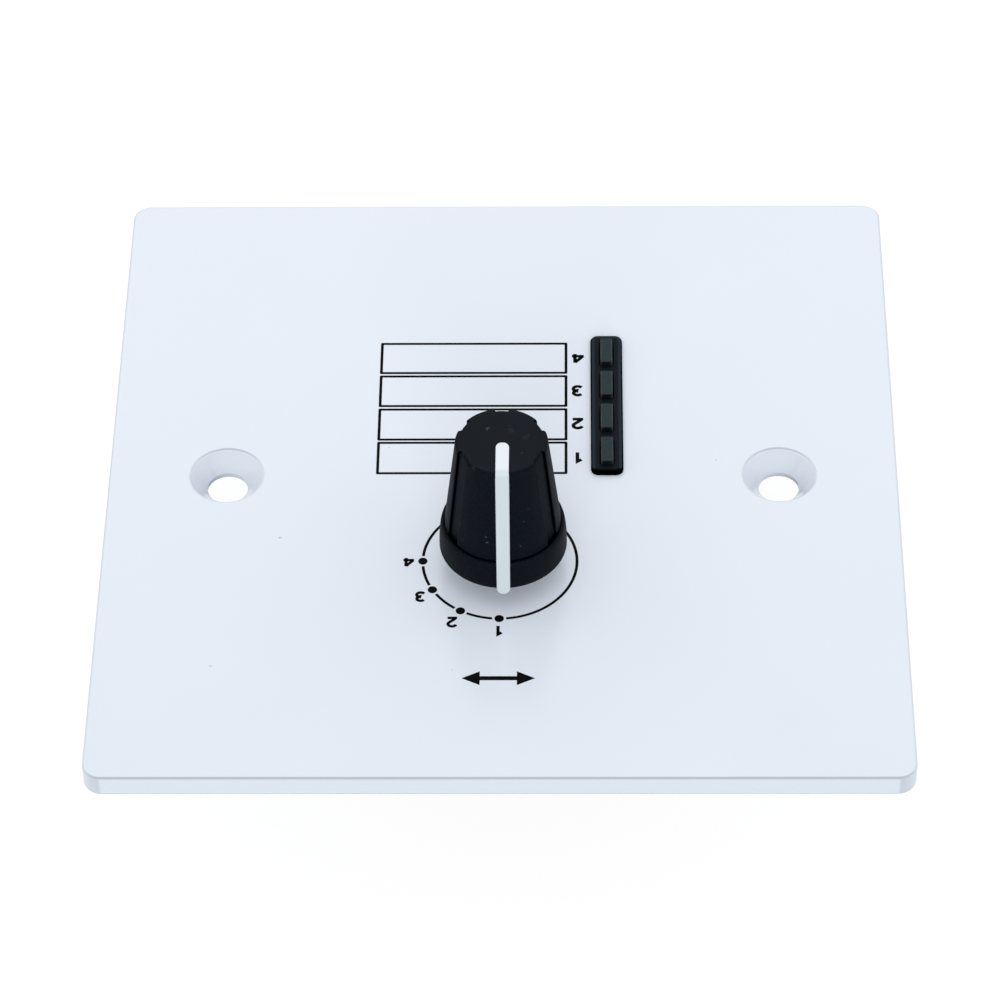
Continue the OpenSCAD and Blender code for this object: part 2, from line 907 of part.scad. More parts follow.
module indicator_bezel() {
    color("#22262b")
        difference() {
            translate([strip_x, strip_y, 0]) {
                translate([0, 0, z_front])
                    soft_slab(bezel_w, bezel_len, bezel_h, bezel_corner_r, bezel_edge_r);
                translate([-neck_w / 2, -neck_len / 2, -neck_drop])
                    cube([neck_w, neck_len, neck_drop + plate_t]);
                for (turn = [0, 180])
                    rotate([0, 0, turn])
                        translate([-hook_w / 2, neck_len / 2, -fit])
                            rotate([90, 0, 90])
                                linear_extrude(hook_w)
                                    polygon([[0, 0], [hook_out, 0], [0, -hook_h]]);
            }
            for (i = [0:lens_count - 1])
                at_lens(i)
                    translate([-lens_w / 2 - fit, -lens_len / 2 - fit, -neck_drop - cut])
                        cube([lens_w + 2 * fit, lens_len + 2 * fit, neck_drop + plate_t + bezel_h + 2 * cut]);
        }
}

module light_pipe(i) {
    pipe_h = z_front + bezel_h + lens_proud - pipe_low;
    if (i < lens_count)
        color("#3a4244")
            at_lens(i)
                translate([0, 0, pipe_low])
                    intersection() {
                        rotate([90, 0, 0])
                            linear_extrude(lens_len, center = true)
                                arch_section(lens_w, pipe_h, lens_edge_r);
                        rotate([90, 0, 90])
                            linear_extrude(lens_w, center = true)
                                arch_section(lens_len, pipe_h, lens_edge_r);
                    }
}

module indicator_leds() {
    color("ivory")
        for (i = [0:lens_count - 1])
            at_lens(i)
                translate([-led_w / 2, -led_len / 2, z_board])
                    cube([led_w, led_len, led_h]);
}

// Jacks on the board's rear

module jack(i) {
    floor_h = jack_h - port_depth;
    color("#1e2024")
        on_rear(jack_places[i])
            difference() {
                union() {
                    translate([-jack_w / 2, -jack_d / 2, 0])
                        cube([jack_w, jack_d, jack_h]);
                    for (sx = [-1, 1])
                        translate([sx * post_x, post_y, -board_t])
                            cylinder(r = post_r, h = board_t);
                }
                translate([-port_w / 2, port_y - port_d / 2, floor_h])
                    cube([port_w, port_d, port_depth + cut]);
                translate([-latch_w / 2, port_y - port_d / 2 - latch_d, jack_h - latch_depth])
                    cube([latch_w, latch_d + cut, latch_depth + cut]);
                translate([-key_w / 2, port_y - port_d / 2 - latch_d - key_d, jack_h - latch_depth])
                    cube([key_w, key_d + cut, latch_depth + cut]);
                translate([-bay_w / 2, port_y + port_d / 2 - cut, floor_h])
                    cube([bay_w, bay_d + cut, port_depth - bay_lip]);
                translate([-bay_w / 2, wire_y - wire_t, -cut])
                    cube([bay_w, 2 * wire_t, floor_h + 2 * cut]);
            }
}

module jack_contacts(i) {
    rise = jack_h - wire_drop;
    lean = [wire_y - wire_lean.x, rise - wire_lean.y];
    color("gold")
        on_rear(jack_places[i])
            for (k = [0:wire_count - 1])
                translate([(k - (wire_count - 1) / 2) * wire_pitch - wire_w / 2, 0, 0])
                    rotate([90, 0, 90])
                        linear_extrude(wire_w)
                            wire_path([
                                [wire_y, -board_t - pin_tail], [wire_y, rise - wire_bend],
                                [wire_y - wire_bend, rise], lean, lean + [wire_tip.x, -wire_tip.y]
                            ], wire_t);
}

// Address switch

module at_slider(i) {
    translate([(i - (dip_count - 1) / 2) * dip_pitch, 0, 0])
        children();
}

module dip_body() {
    slot_w = slider_w + 2 * slider_fit;
    color("firebrick")
        on_rear(dip_place)
            difference() {
                union() {
                    translate([-dip_w / 2, -dip_d / 2, dip_foot_h])
                        cube([dip_w, dip_d, dip_h - dip_foot_h]);
                    translate([-dip_w / 2 + dip_foot_inset, -dip_d / 2 + dip_foot_inset, 0])
                        cube([dip_w - 2 * dip_foot_inset, dip_d - 2 * dip_foot_inset, 2 * dip_foot_h]);
                    gull_leads(dip_count, dip_pitch, dip_lead_w, dip_d / 2, dip_lead_rise, dip_lead_reach);
                }
                for (i = [0:dip_count - 1])
                    at_slider(i)
                        translate([-slot_w / 2, -slider_room / 2, dip_h - slider_deep - slider_fit])
                            cube([slot_w, slider_room, slider_deep + slider_fit + cut]);
            }
}

module dip_slider(i) {
    step_len = slider_len / 2;
    slider_start = -slider_room / 2 + slider_fit + slider_travel;
    color("white")
        on_rear(dip_place)
            at_slider(i)
                translate([-slider_w / 2, slider_start, dip_h - slider_deep]) {
                    cube([slider_w, slider_len, slider_deep - slider_step]);
                    translate([0, (slider_len - step_len) / 2, 0])
                        cube([slider_w, step_len, slider_deep + slider_proud]);
                }
}

// Other parts on the board

module controller_chip() {
    color("#26282b")
        on_rear(chip_place) {
            translate([-chip_size.x / 2, -chip_size.y / 2, chip_lift])
                cube([chip_size.x, chip_size.y, chip_size.z - chip_lift]);
            gull_leads(chip_lead_count, chip_lead_pitch, chip_lead_w, chip_size.y / 2, chip_lead_rise,
                chip_lead_reach);
        }
}

module regulator() {
    color("#26282b")
        on_rear(regulator_place) {
            translate([-regulator_size.x / 2, -regulator_size.y / 2, chip_lift])
                cube([regulator_size.x, regulator_size.y, regulator_size.z - chip_lift]);
            gull_leads(regulator_lead_count, regulator_lead_pitch, regulator_lead_w, regulator_size.y / 2,
                regulator_lead_rise, regulator_lead_reach, [180]);
            translate([-tab_size.x / 2, regulator_size.y / 2 - lead_root, 0])
                cube([tab_size.x, tab_size.y + lead_root, tab_size.z]);
        }
}

module can_capacitors() {
    color("silver")
        for (place = can_places)
            on_rear(place) {
                translate([-can_foot / 2, -can_foot / 2, 0])
                    cube([can_foot, can_foot, can_foot_h]);
                cylinder(r = can_r, h = can_h);
            }
}

module crystal() {
    color("lightgray")
        on_rear(crystal_place)
            linear_extrude(crystal_h)
                round_rect(crystal_len, crystal_w, crystal_w / 2 - fit);
}

module chip_resistors() {
    color("black")
        for (place = resistor_places)
            on_rear(place)
                translate([-chip_resistor_size.x / 2, -chip_resistor_size.y / 2, 0])
                    cube(chip_resistor_size);
}

module chip_capacitors() {
    color("tan")
        for (place = capacitor_places)
            on_rear(place)
                translate([-chip_capacitor_size.x / 2, -chip_capacitor_size.y / 2, 0])
                    cube(chip_capacitor_size);
}

module at_header_pins() {
    for (i = [0:header_count - 1])
        translate([(i - (header_count - 1) / 2) * header_pitch - header_pin_w / 2, -header_pin_w / 2, 0])
            children();
}

module pin_header() {
    color("#202226")
        on_rear(header_place)
            difference() {
                translate([-header_len / 2, -header_h / 2, 0])
                    cube([header_len, header_h, header_h]);
                at_header_pins()
                    translate([-fit, -fit, -cut])
                        cube([header_pin_w + 2 * fit, header_pin_w + 2 * fit, header_h + 2 * cut]);
            }
}

module header_pins() {
    tail = board_t + pin_tail;
    color("gold")
        on_rear(header_place)
            at_header_pins()
                translate([0, 0, -tail])
                    cube([header_pin_w, header_pin_w, tail + header_pin_len]);
}

face_plate();
standoffs();
circuit_board();
board_screws();
screw_washers();
knob_body();
knob_core();
knob_pointer();
switch_frame();
switch_housing();
stop_washer();
detent_ring();
contact_base();
switch_contacts();
switch_shaft();
retaining_ring();
switch_rotor();
detent_ball();
detent_spring();
wiper_contact();
indicator_bezel();
light_pipe(3);  // light_pipe_1
light_pipe(2);  // light_pipe_2
light_pipe(1);  // light_pipe_3
light_pipe(0);  // light_pipe_4
indicator_leds();
jack(0);  // jack_1
jack(1);  // jack_2
jack_contacts(0);  // jack_contacts_1
jack_contacts(1);  // jack_contacts_2
dip_body();
dip_slider(0);  // dip_slider_1
dip_slider(1);  // dip_slider_2
dip_slider(2);  // dip_slider_3
dip_slider(3);  // dip_slider_4
controller_chip();
regulator();
can_capacitors();
crystal();
chip_resistors();
chip_capacitors();
pin_header();
header_pins();
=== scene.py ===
import math
from functools import partial
import bmesh
import bpy
from mathutils import Matrix, Vector


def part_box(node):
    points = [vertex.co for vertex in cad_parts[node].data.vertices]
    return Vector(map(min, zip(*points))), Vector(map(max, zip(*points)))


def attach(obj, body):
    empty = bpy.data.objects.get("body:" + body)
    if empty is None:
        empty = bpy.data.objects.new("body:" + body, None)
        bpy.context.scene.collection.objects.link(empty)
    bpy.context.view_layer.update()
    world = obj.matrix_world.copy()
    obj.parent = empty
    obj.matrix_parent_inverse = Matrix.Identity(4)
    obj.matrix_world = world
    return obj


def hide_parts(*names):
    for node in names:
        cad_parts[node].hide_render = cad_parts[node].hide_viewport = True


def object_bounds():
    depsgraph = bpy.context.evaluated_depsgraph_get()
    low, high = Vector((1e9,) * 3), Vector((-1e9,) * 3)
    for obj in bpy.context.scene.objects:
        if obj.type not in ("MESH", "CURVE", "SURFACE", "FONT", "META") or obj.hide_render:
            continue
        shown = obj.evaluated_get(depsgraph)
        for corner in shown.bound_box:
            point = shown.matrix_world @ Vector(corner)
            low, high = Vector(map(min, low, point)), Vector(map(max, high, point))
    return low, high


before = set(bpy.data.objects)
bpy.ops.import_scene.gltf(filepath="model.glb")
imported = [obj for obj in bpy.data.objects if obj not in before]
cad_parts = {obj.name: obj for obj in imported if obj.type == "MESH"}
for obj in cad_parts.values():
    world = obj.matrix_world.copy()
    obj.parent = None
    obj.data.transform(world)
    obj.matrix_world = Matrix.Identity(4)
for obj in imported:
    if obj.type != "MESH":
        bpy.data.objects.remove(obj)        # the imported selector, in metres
cadLow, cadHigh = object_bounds()
mm = 0.001
print("frame loaded:", len(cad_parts), "nodes")


def addObject(name, data):
    item = bpy.data.objects.new(name, data)
    bpy.context.scene.collection.objects.link(item)
    return item


# Camera at the photograph's place

photoCamera = {
    "focalPixels": 4484.05, "imagePixels": 1000, "sensor": 36, "clipStart": 0.02,
    "spot": (-7.377, 337.724, 356.638),      # mm
    "azimuth": -1.3118, "elevation": 46.664, "roll": -1.0331,     # degrees, the first from +Y
}


def addCamera(focalPixels, imagePixels, sensor, clipStart, spot, azimuth, elevation, roll):
    az, el, ro = (math.radians(angle) for angle in (azimuth, elevation, roll))
    back = Vector((math.sin(az) * math.cos(el), math.cos(az) * math.cos(el), math.sin(el)))
    right = Vector((0, 0, 1)).cross(back).normalized()
    up = back.cross(right)
    across = right * math.cos(ro) + up * math.sin(ro)
    upright = up * math.cos(ro) - right * math.sin(ro)
    data = bpy.data.cameras.new("photoCamera")
    data.sensor_width, data.clip_start = sensor, clipStart
    data.lens = focalPixels / imagePixels * sensor
    camera = addObject("photoCamera", data)
    turn = Matrix((across, upright, back)).transposed().to_4x4()
    camera.matrix_world = Matrix.Translation(Vector(spot) * mm) @ turn
    bpy.context.scene.camera = camera


addCamera(**photoCamera)
print("camera set")


# Node helpers, for shaders and for Geometry Nodes

def feed(tree, socket, value):
    if isinstance(value, bpy.types.NodeSocket):
        tree.links.new(value, socket)
    else:
        socket.default_value = value


def addNode(tree, kind, inputs=None, **settings):      # gives the new node's outputs
    node = tree.nodes.new(kind)
    for key, value in settings.items():
        setattr(node, key, value)
    for key, value in (inputs or {}).items():
        feed(tree, node.inputs[key], value)
    return node.outputs


def calc(tree, operation, *values, clamp=False):
    return addNode(tree, "ShaderNodeMath", dict(enumerate(values)), operation=operation, use_clamp=clamp)[0]


def vectorCalc(tree, operation, *values, **named):
    inputs = {**dict(enumerate(values)), **named}
    return addNode(tree, "ShaderNodeVectorMath", inputs, operation=operation)


def remap(tree, value, fromLow, fromHigh, toLow=0.0, toHigh=1.0, kind="SMOOTHSTEP"):
    inputs = {"Value": value, "From Min": fromLow, "From Max": fromHigh, "To Min": toLow, "To Max": toHigh}
    return addNode(tree, "ShaderNodeMapRange", inputs, interpolation_type=kind)["Result"]


def blendColour(tree, factor, first, second):
    return addNode(tree, "ShaderNodeMix", {0: factor, 6: first, 7: second}, data_type="RGBA")[2]


def rgb(colour, level=1.0):
    return (*(min(1.0, part * level) for part in colour), 1.0)


def meshValue(tree, label):                  # a value that the mesh carries, for a shader
    return addNode(tree, "ShaderNodeAttribute", attribute_name=label)["Fac"]


def newTree(name, kind, inputs, outputs):    # sockets are given by name and kind
    tree = bpy.data.node_groups.new(name, kind)
    for way, sockets in (("INPUT", inputs), ("OUTPUT", outputs)):
        for label, socket in sockets.items():
            tree.interface.new_socket(label, in_out=way, socket_type="NodeSocket" + socket)
    return tree, addNode(tree, "NodeGroupInput"), tree.nodes.new("NodeGroupOutput").inputs


# Effects that several finishes share

speckShape = {"ragged": 5.0, "bend": 0.35, "core": 0.5}     # finer noise bends the specks out of round
rubAndGlintShape = {"scale": 900.0, "from": (0.3, 0.7), "to": (0.4, 1.0)}


def newGroup(name, inputs, outputs):
    return newTree(name, "ShaderNodeTree", {"Vector": "Vector", **dict.fromkeys(inputs, "Float")},
                   dict.fromkeys(outputs, "Float"))


def makeGrain():                             # fine grain for bump, broad cloud for colour
    group, given, made = newGroup("surfaceGrain", ("Fine", "Broad"), ("Height", "Cloud"))
    for scale, detail, out in (("Fine", 2.0, "Height"), ("Broad", 3.0, "Cloud")):
        noise = addNode(group, "ShaderNodeTexNoise",
                        {"Vector": given["Vector"], "Scale": given[scale], "Detail": detail})
        feed(group, made[out], noise[0])
    return group


def makeSpecks(ragged, bend, core):          # sparse specks of dust or dirt
    group, given, made = newGroup("dustSpecks", ("Scale", "Amount", "Size"), ("Mask",))
    noise = addNode(group, "ShaderNodeTexNoise", {"Vector": given["Vector"],
                                                  "Scale": calc(group, "MULTIPLY", given["Scale"], ragged)})
    bent = vectorCalc(group, "MULTIPLY_ADD", noise["Color"], calc(group, "DIVIDE", bend, given["Scale"]),
                      given["Vector"])
    cells = addNode(group, "ShaderNodeTexVoronoi", {"Vector": bent[0], "Scale": given["Scale"]})
    pick = addNode(group, "ShaderNodeSeparateColor", {0: cells["Color"]})
    kept = calc(group, "LESS_THAN", pick[0], given["Amount"])
    reach = calc(group, "MULTIPLY", given["Size"], pick[1])
    spot = remap(group, cells["Distance"], reach, calc(group, "MULTIPLY", reach, core))
    feed(group, made["Mask"], calc(group, "MULTIPLY", kept, spot))
    return group


def makeRubAndGlint(shape):                          # rubbed edges, and painted highlights on the lens edges, from the mesh's own edge value
    group, given, made = newGroup("edgeRubAndGlint", ("Scale", "Amount"), ("Mask",))
    noise = addNode(group, "ShaderNodeTexNoise", {"Vector": given["Vector"], "Scale": given["Scale"]})
    broken = remap(group, noise[0], *shape["from"], *shape["to"])
    worn = calc(group, "MULTIPLY", meshValue(group, "edge"), broken)
    feed(group, made["Mask"], calc(group, "MULTIPLY", worn, given["Amount"], clamp=True))
    return group


grainGroup, specksGroup, rubAndGlintGroup = makeGrain(), makeSpecks(**speckShape), makeRubAndGlint(rubAndGlintShape)
bumpDepth = 0.01                             # mm
mottleSpan, shadeSpan, dullSpan = (0.4, 0.75), (0.3, 0.9), (0.2, 0.8)     # from none to full; the second and third set the painted shade and its loss of gloss


def placeGroup(tree, group, vector, **values):
    return addNode(tree, "ShaderNodeGroup", {"Vector": vector, **values}, node_tree=group)


def startMaterial(name, sockets):
    material = bpy.data.materials.new(name)
    material.use_nodes = True
    tree = material.node_tree
    shader = tree.nodes["Principled BSDF"].inputs
    for label, value in sockets.items():
        shader[label].default_value = value
    return material, tree, shader, addNode(tree, "ShaderNodeTexCoord")["Object"]


def endMaterial(tree, shader, tint, cloud, roughs, height, bump):
    bumped = addNode(tree, "ShaderNodeBump", {"Strength": bump, "Distance": bumpDepth * mm, "Height": height})
    uneven = remap(tree, cloud, 0.0, 1.0, *roughs, kind="LINEAR")
    for label, value in (("Base Color", tint), ("Roughness", uneven), ("Normal", bumped[0])):
        feed(tree, shader[label], value)


def finish(name, colour, rough, metal=0.0, gloss=0.5, fine=5000, bump=0.3, broad=200, cloud=0.1,
           uneven=0.15, stretch=None, film=None, speckle=None, thin=None, dust=(), rubAndGlint=None, cavity=None):
    material, tree, shader, spot = startMaterial(name, {"Metallic": metal, "Specular IOR Level": gloss})
    if stretch:                              # draws the grain out along one axis, as on drawn metal
        spot = addNode(tree, "ShaderNodeMapping", {"Vector": spot, "Scale": stretch})[0]
    grain = placeGroup(tree, grainGroup, spot, Fine=fine, Broad=broad)
    layers = []                              # (mask, colour), from the lowest up
    if film:                                 # painted light and shade: another tone, where the mesh's own painted shading value is set
        lain = meshValue(tree, "film")
        layers.append((lain, film))
    if speckle:                              # fine mottle of a moulded skin, on the painted shading and the bare skin
        mottle = calc(tree, "MULTIPLY", remap(tree, grain["Height"], *mottleSpan), speckle["amount"])
        share = calc(tree, "MAXIMUM", lain, speckle["bare"])
        layers.append((calc(tree, "MULTIPLY", mottle, share), speckle["colour"]))
    if thin:                                 # a darker tone where the mesh's own edge value is set: on the plate, thin coat and painted shade along the creases
        layers.append((calc(tree, "MULTIPLY", meshValue(tree, "edge"), thin["amount"], clamp=True),
                       thin["colour"]))
    for layer in dust:
        mask = placeGroup(tree, specksGroup, spot, **layer["specks"])["Mask"]
        layers.append((calc(tree, "MULTIPLY", mask, layer["strength"]), layer["colour"]))
    if rubAndGlint:
        mask = placeGroup(tree, rubAndGlintGroup, spot, Scale=rubAndGlintShape["scale"], Amount=rubAndGlint["amount"])["Mask"]
        layers.append((mask, rubAndGlint["colour"]))
    if cavity:                               # painted shade: near black and without gloss, where the mesh's own painted shade value is set
        deep = meshValue(tree, "cavity")
        layers.append((remap(tree, deep, *shadeSpan), cavity))
        feed(tree, shader["Specular IOR Level"], remap(tree, deep, *dullSpan, gloss, 0.0))
    tint = blendColour(tree, grain["Cloud"], rgb(colour, 1 - cloud), rgb(colour, 1 + cloud))
    for mask, tone in layers:
        tint = blendColour(tree, mask, tint, rgb(tone))
    roughs = (rough * (1 - uneven), rough * (1 + uneven))
    endMaterial(tree, shader, tint, grain["Cloud"], roughs, grain["Height"], bump)
    return material


# Finishes

coatSpecks = {"specks": {"Scale": 170.0, "Amount": 0.5, "Size": 0.03}, "strength": 0.7,
              "colour": (0.2, 0.2, 0.22)}
dusty = {"specks": {"Scale": 700.0, "Amount": 0.14, "Size": 0.11}, "strength": 0.5,
         "colour": (0.09, 0.095, 0.1)}
knobDust = {"specks": {"Scale": 800.0, "Amount": 0.5, "Size": 0.18}, "strength": 0.7,
            "colour": (0.055, 0.062, 0.07)}
knobSmudges = {"specks": {"Scale": 700.0, "Amount": 0.4, "Size": 0.36}, "strength": 0.5,
               "colour": (0.02, 0.023, 0.027)}
maskLook = {
    "colour": (0.012, 0.105, 0.05), "patchLevel": 0.7, "patchShare": 0.35, "patchScale": 120.0,
    "weaveColour": (0.016, 0.125, 0.06), "weaveScale": 700.0, "weaveBend": 0.6,
    "roughs": (0.21, 0.37), "bump": 0.15, "coat": {"Coat Weight": 0.4, "Coat Roughness": 0.12},
}


def makeSolderMask(colour, patchLevel, patchShare, patchScale, weaveColour, weaveScale, weaveBend, roughs,
                   bump, coat):              # glossy lacquer over woven laminate
    material, tree, shader, spot = startMaterial("solderMask", coat)
    waves = {"Vector": spot, "Scale": weaveScale, "Distortion": weaveBend}
    threads = [addNode(tree, "ShaderNodeTexWave", waves, bands_direction=way)["Fac"] for way in "XY"]
    weave = calc(tree, "MULTIPLY", *threads)
    cloud = placeGroup(tree, grainGroup, spot, Broad=patchScale)["Cloud"]
    tint = blendColour(tree, weave, rgb(colour), rgb(weaveColour))
    tint = blendColour(tree, calc(tree, "MULTIPLY", cloud, patchShare), tint, rgb(colour, patchLevel))
    endMaterial(tree, shader, tint, cloud, roughs, weave, bump)
    return material


# the thin tone is a darker line along the edges: thin coat, and painted shade along the creases
whiteCoat = finish("whiteCoat", (0.745, 0.795, 0.87), 0.2, gloss=0.45, fine=1500, bump=0.12,
                   broad=60, cloud=0.015, uneven=0.25, dust=[coatSpecks],
                   film=(0.6, 0.64, 0.7),    # painted shade inside the countersinks
                   thin={"amount": 0.9, "colour": (0.36, 0.39, 0.44)})
printInk = finish("printInk", (0.0015, 0.0017, 0.0022), 0.55, gloss=0.04, fine=9000,
                  bump=0.15, cloud=0.15)
# painted light on the knob's top face, painted shade on the flute walls and in the groove above the ledge;
# smudges and specks are dust, rubs are wear
softBlack = finish("softBlack", (0.0008, 0.0024, 0.0052), 0.55, gloss=0.05, fine=6500,
                   broad=350, cloud=0.2, film=(0.0055, 0.0085, 0.0128), dust=[knobSmudges, knobDust],
                   speckle={"amount": 0.5, "bare": 1.0, "colour": (0.008, 0.0105, 0.014)},
                   rubAndGlint={"amount": 0.3, "colour": (0.022, 0.026, 0.03)}, cavity=(0.0001, 0.0002, 0.0004))
# painted shade on the pointer's slope
pointerWhite = finish("pointerWhite", (0.79, 0.84, 0.87), 0.42, gloss=0.4, fine=4000,
                      bump=0.1, cloud=0.02, film=(0.545, 0.6, 0.615))
# painted highlight on the bezel's ridge and panel, painted shade on its outer border and on the end that
# faces +Y
bezelBlack = finish("bezelBlack", (0.0004, 0.001, 0.0024), 0.42, gloss=0.05, fine=7000,
                    bump=0.2, cloud=0.15, film=(0.016, 0.0265, 0.039), cavity=(0.0001, 0.0002, 0.0003))
# painted light: a lighter top over dark sides, and painted highlights on the long edges
smokedLens = finish("smokedLens", (0.0034, 0.004, 0.005), 0.45, gloss=0.03, fine=4500,
                    bump=0.2, broad=2200, cloud=0.25, film=(0.027, 0.04, 0.047),
                    speckle={"amount": 0.5, "bare": 0.0, "colour": (0.042, 0.058, 0.062)},
                    rubAndGlint={"amount": 1.2, "colour": (0.1, 0.12, 0.125)})
blackPlastic = finish("blackPlastic", (0.02, 0.022, 0.025), 0.42, gloss=0.45, fine=6000,
                      cloud=0.15, dust=[dusty], rubAndGlint={"amount": 0.4, "colour": (0.06, 0.063, 0.068)})
greyPlastic = finish("greyPlastic", (0.19, 0.19, 0.195), 0.5, fine=6000)
whitePlastic = finish("whitePlastic", (0.76, 0.76, 0.74), 0.42, gloss=0.45, bump=0.15,
                      cloud=0.03)
redPlastic = finish("redPlastic", (0.47, 0.025, 0.022), 0.4, gloss=0.45, fine=6000, bump=0.25)
chipEpoxy = finish("chipEpoxy", (0.022, 0.023, 0.025), 0.58, gloss=0.35, fine=9000, bump=0.5,
                   cloud=0.12, rubAndGlint={"amount": 0.4, "colour": (0.05, 0.05, 0.055)})
tanCeramic = finish("tanCeramic", (0.42, 0.3, 0.18), 0.5, fine=7000, bump=0.25, broad=1500,
                    cloud=0.12)
brownLaminate = finish("brownLaminate", (0.24, 0.12, 0.055), 0.5, fine=2500, broad=500,
                       cloud=0.2)
zincPlate = finish("zincPlate", (0.66, 0.67, 0.69), 0.27, metal=1.0, fine=4000, bump=0.12,
                   broad=400, cloud=0.08)
dieCast = finish("dieCast", (0.52, 0.52, 0.53), 0.4, metal=1.0, fine=2500, bump=0.35, broad=500,
                 cloud=0.12)
canMetal = finish("canMetal", (0.74, 0.74, 0.75), 0.3, metal=1.0, fine=3000, bump=0.15,
                  broad=300, cloud=0.06, stretch=(1, 1, 8))
giltMetal = finish("giltMetal", (0.8, 0.57, 0.22), 0.24, metal=1.0, fine=4000, bump=0.1,
                   broad=600, cloud=0.08)
tinMetal = finish("tinMetal", (0.62, 0.62, 0.63), 0.33, metal=1.0, bump=0.25, broad=1200,
                  cloud=0.12)
solderMetal = finish("solderMetal", (0.6, 0.61, 0.62), 0.22, metal=1.0, fine=1800, bump=0.2,
                     broad=1500, cloud=0.15)
solderMask = makeSolderMask(**maskLook)
trackMask = finish("trackMask", (0.02, 0.17, 0.075), 0.26, fine=2500, bump=0.1, broad=300)
laminateEdge = finish("laminateEdge", (0.3, 0.29, 0.13), 0.6, fine=3000, bump=0.5, broad=900,
                      cloud=0.25, stretch=(1, 1, 6))
silkInk = finish("silkInk", (0.72, 0.73, 0.71), 0.5, fine=6000, bump=0.15, broad=1500,
                 cloud=0.05)
print("finishes made")


# Mesh helpers. Sizes are in mm until a vertex is made.

def unit(value):
    return max(0.0, min(1.0, value))


def ramp(value, stops):                      # straight lines between stops of (place, level)
    for (a, low), (b, high) in zip(stops, stops[1:]):
        if value < b:
            return low + (high - low) * max(0.0, value - a) / (b - a)
    return stops[-1][1]


def roundRect(width, height, radius, steps=6, centre=(0, 0)):
    points = []
    for k, (sx, sy) in enumerate([(1, 1), (-1, 1), (-1, -1), (1, -1)]):
        x, y = centre[0] + sx * (width / 2 - radius), centre[1] + sy * (height / 2 - radius)
        for i in range(steps + 1):
            a = math.pi / 2 * (k + i / steps)
            points.append((x + radius * math.cos(a), y + radius * math.sin(a)))
    return points


def circle(radius, steps=48, centre=(0, 0)):
    turn = 2 * math.pi / steps
    return [(centre[0] + radius * math.cos(turn * i), centre[1] + radius * math.sin(turn * i))
            for i in range(steps)]


def softProfile(corners, steps=5):           # corners are (across, up, round), both ends stay as they are
    points = [tuple(corners[0][:2])]
    for before, here, after in zip(corners, corners[1:], corners[2:]):
        p = Vector(here[:2])
        back, ahead = Vector(before[:2]) - p, Vector(after[:2]) - p
        reach = here[2] * math.tan((math.pi - back.angle(ahead)) / 2) if here[2] else 0
        for arm, near in ((back, before), (ahead, after)):     # leaves room for the next corner's round
            reach = min(reach, arm.length * (0.49 if near[2] else 0.98))
        if reach < 1e-5:
            points.append(tuple(p))
            continue
        a, b = p + back.normalized() * reach, p + ahead.normalized() * reach
        for i in range(steps + 1):
            t = i / steps
            points.append(tuple(a * (1 - t) ** 2 + p * 2 * t * (1 - t) + b * t * t))
    points.append(tuple(corners[-1][:2]))
    return points


def addPoint(bm, x, y, z):
    return bm.verts.new((x * mm, y * mm, z * mm))


def addRing(bm, points, height):
    return [addPoint(bm, x, y, height) for x, y in points]


def bridgeRings(bm, rings, capped=False):
    for low, high in zip(rings, rings[1:]):
        for i in range(len(low)):
            j = (i + 1) % len(low)
            bm.faces.new((low[i], low[j], high[j], high[i]))
    if capped:
        bm.faces.new(rings[0])
        bm.faces.new(rings[-1][::-1])


def fillLoops(bm, loops):
    edges = []
    for loop in loops:
        for a, b in zip(loop, loop[1:] + loop[:1]):
            edges.append(bm.edges.get((a, b)) or bm.edges.new((a, b)))
    bmesh.ops.triangle_fill(bm, use_beauty=True, use_dissolve=False, edges=edges)


def addSlab(bm, outer, holes=(), pits=()):   # walls are lists of (points, height), from the front to the rear
    built = [[addRing(bm, points, height) for points, height in wall] for wall in (outer, *holes, *pits)]
    through = built[:1 + len(holes)]
    for rings in built:
        bridgeRings(bm, rings)
    fillLoops(bm, [rings[0] for rings in built])
    fillLoops(bm, [rings[-1] for rings in through])
    for rings in built[len(through):]:
        fillLoops(bm, [rings[-1]])


def slabWall(size, corner, top, low, topRound=0.1, lowRound=0.1, centre=(0, 0), margin=0.3, steps=6,
             guard=0.0):
    corners = [(margin, top, 0), (0, top, topRound), (0, low, lowRound), (margin, low, 0)]
    if guard:                                # rings close to both rounds keep the edge value narrow
        way = guard if top > low else -guard
        corners[2:2] = [(0, top - topRound - way, 0), (0, low + lowRound + way, 0)]
        corners[1:1] = [(topRound + guard, top, 0)]
        corners[-1:-1] = [(lowRound + guard, low, 0)]
    return [(roundRect(size[0] - 2 * a, size[1] - 2 * a, max(corner - a, 0.01), steps, centre), z)
            for a, z in softProfile(corners)]


def slotWall(size, corner, top, low, topRound, lowRound, centre, margin=0.15, inset=0.05):
    end = margin if lowRound else -inset     # a pit has no round below: its floor starts inside its wall
    corners = [(margin, top, 0), (0, top, topRound), (0, low, lowRound), (end, low, 0)]
    return [(roundRect(size[0] + 2 * a, size[1] + 2 * a, corner + a, 4, centre), z)
            for a, z in softProfile(corners, 3)]


def boreWall(radius, top, low, lip, centre, margin, steps):
    corners = [(margin, top, 0), (0, top, lip), (0, low, lip), (margin, low, 0)]
    return [(circle(radius + a, steps, centre), z) for a, z in softProfile(corners, 3)]


def addLathe(bm, profile, centre=(0, 0), steps=48, closed=False):
    rings = [addRing(bm, circle(radius, steps, centre) if radius > 1e-6 else [centre], z)
             for radius, z in profile]
    for low, high in zip(rings, rings[1:] + rings[:1] if closed else rings[1:]):
        for i in range(steps):
            j = (i + 1) % steps
            corners = (low[i % len(low)], low[j % len(low)], high[j % len(high)], high[i % len(high)])
            bm.faces.new(list(dict.fromkeys(corners)))
    return rings


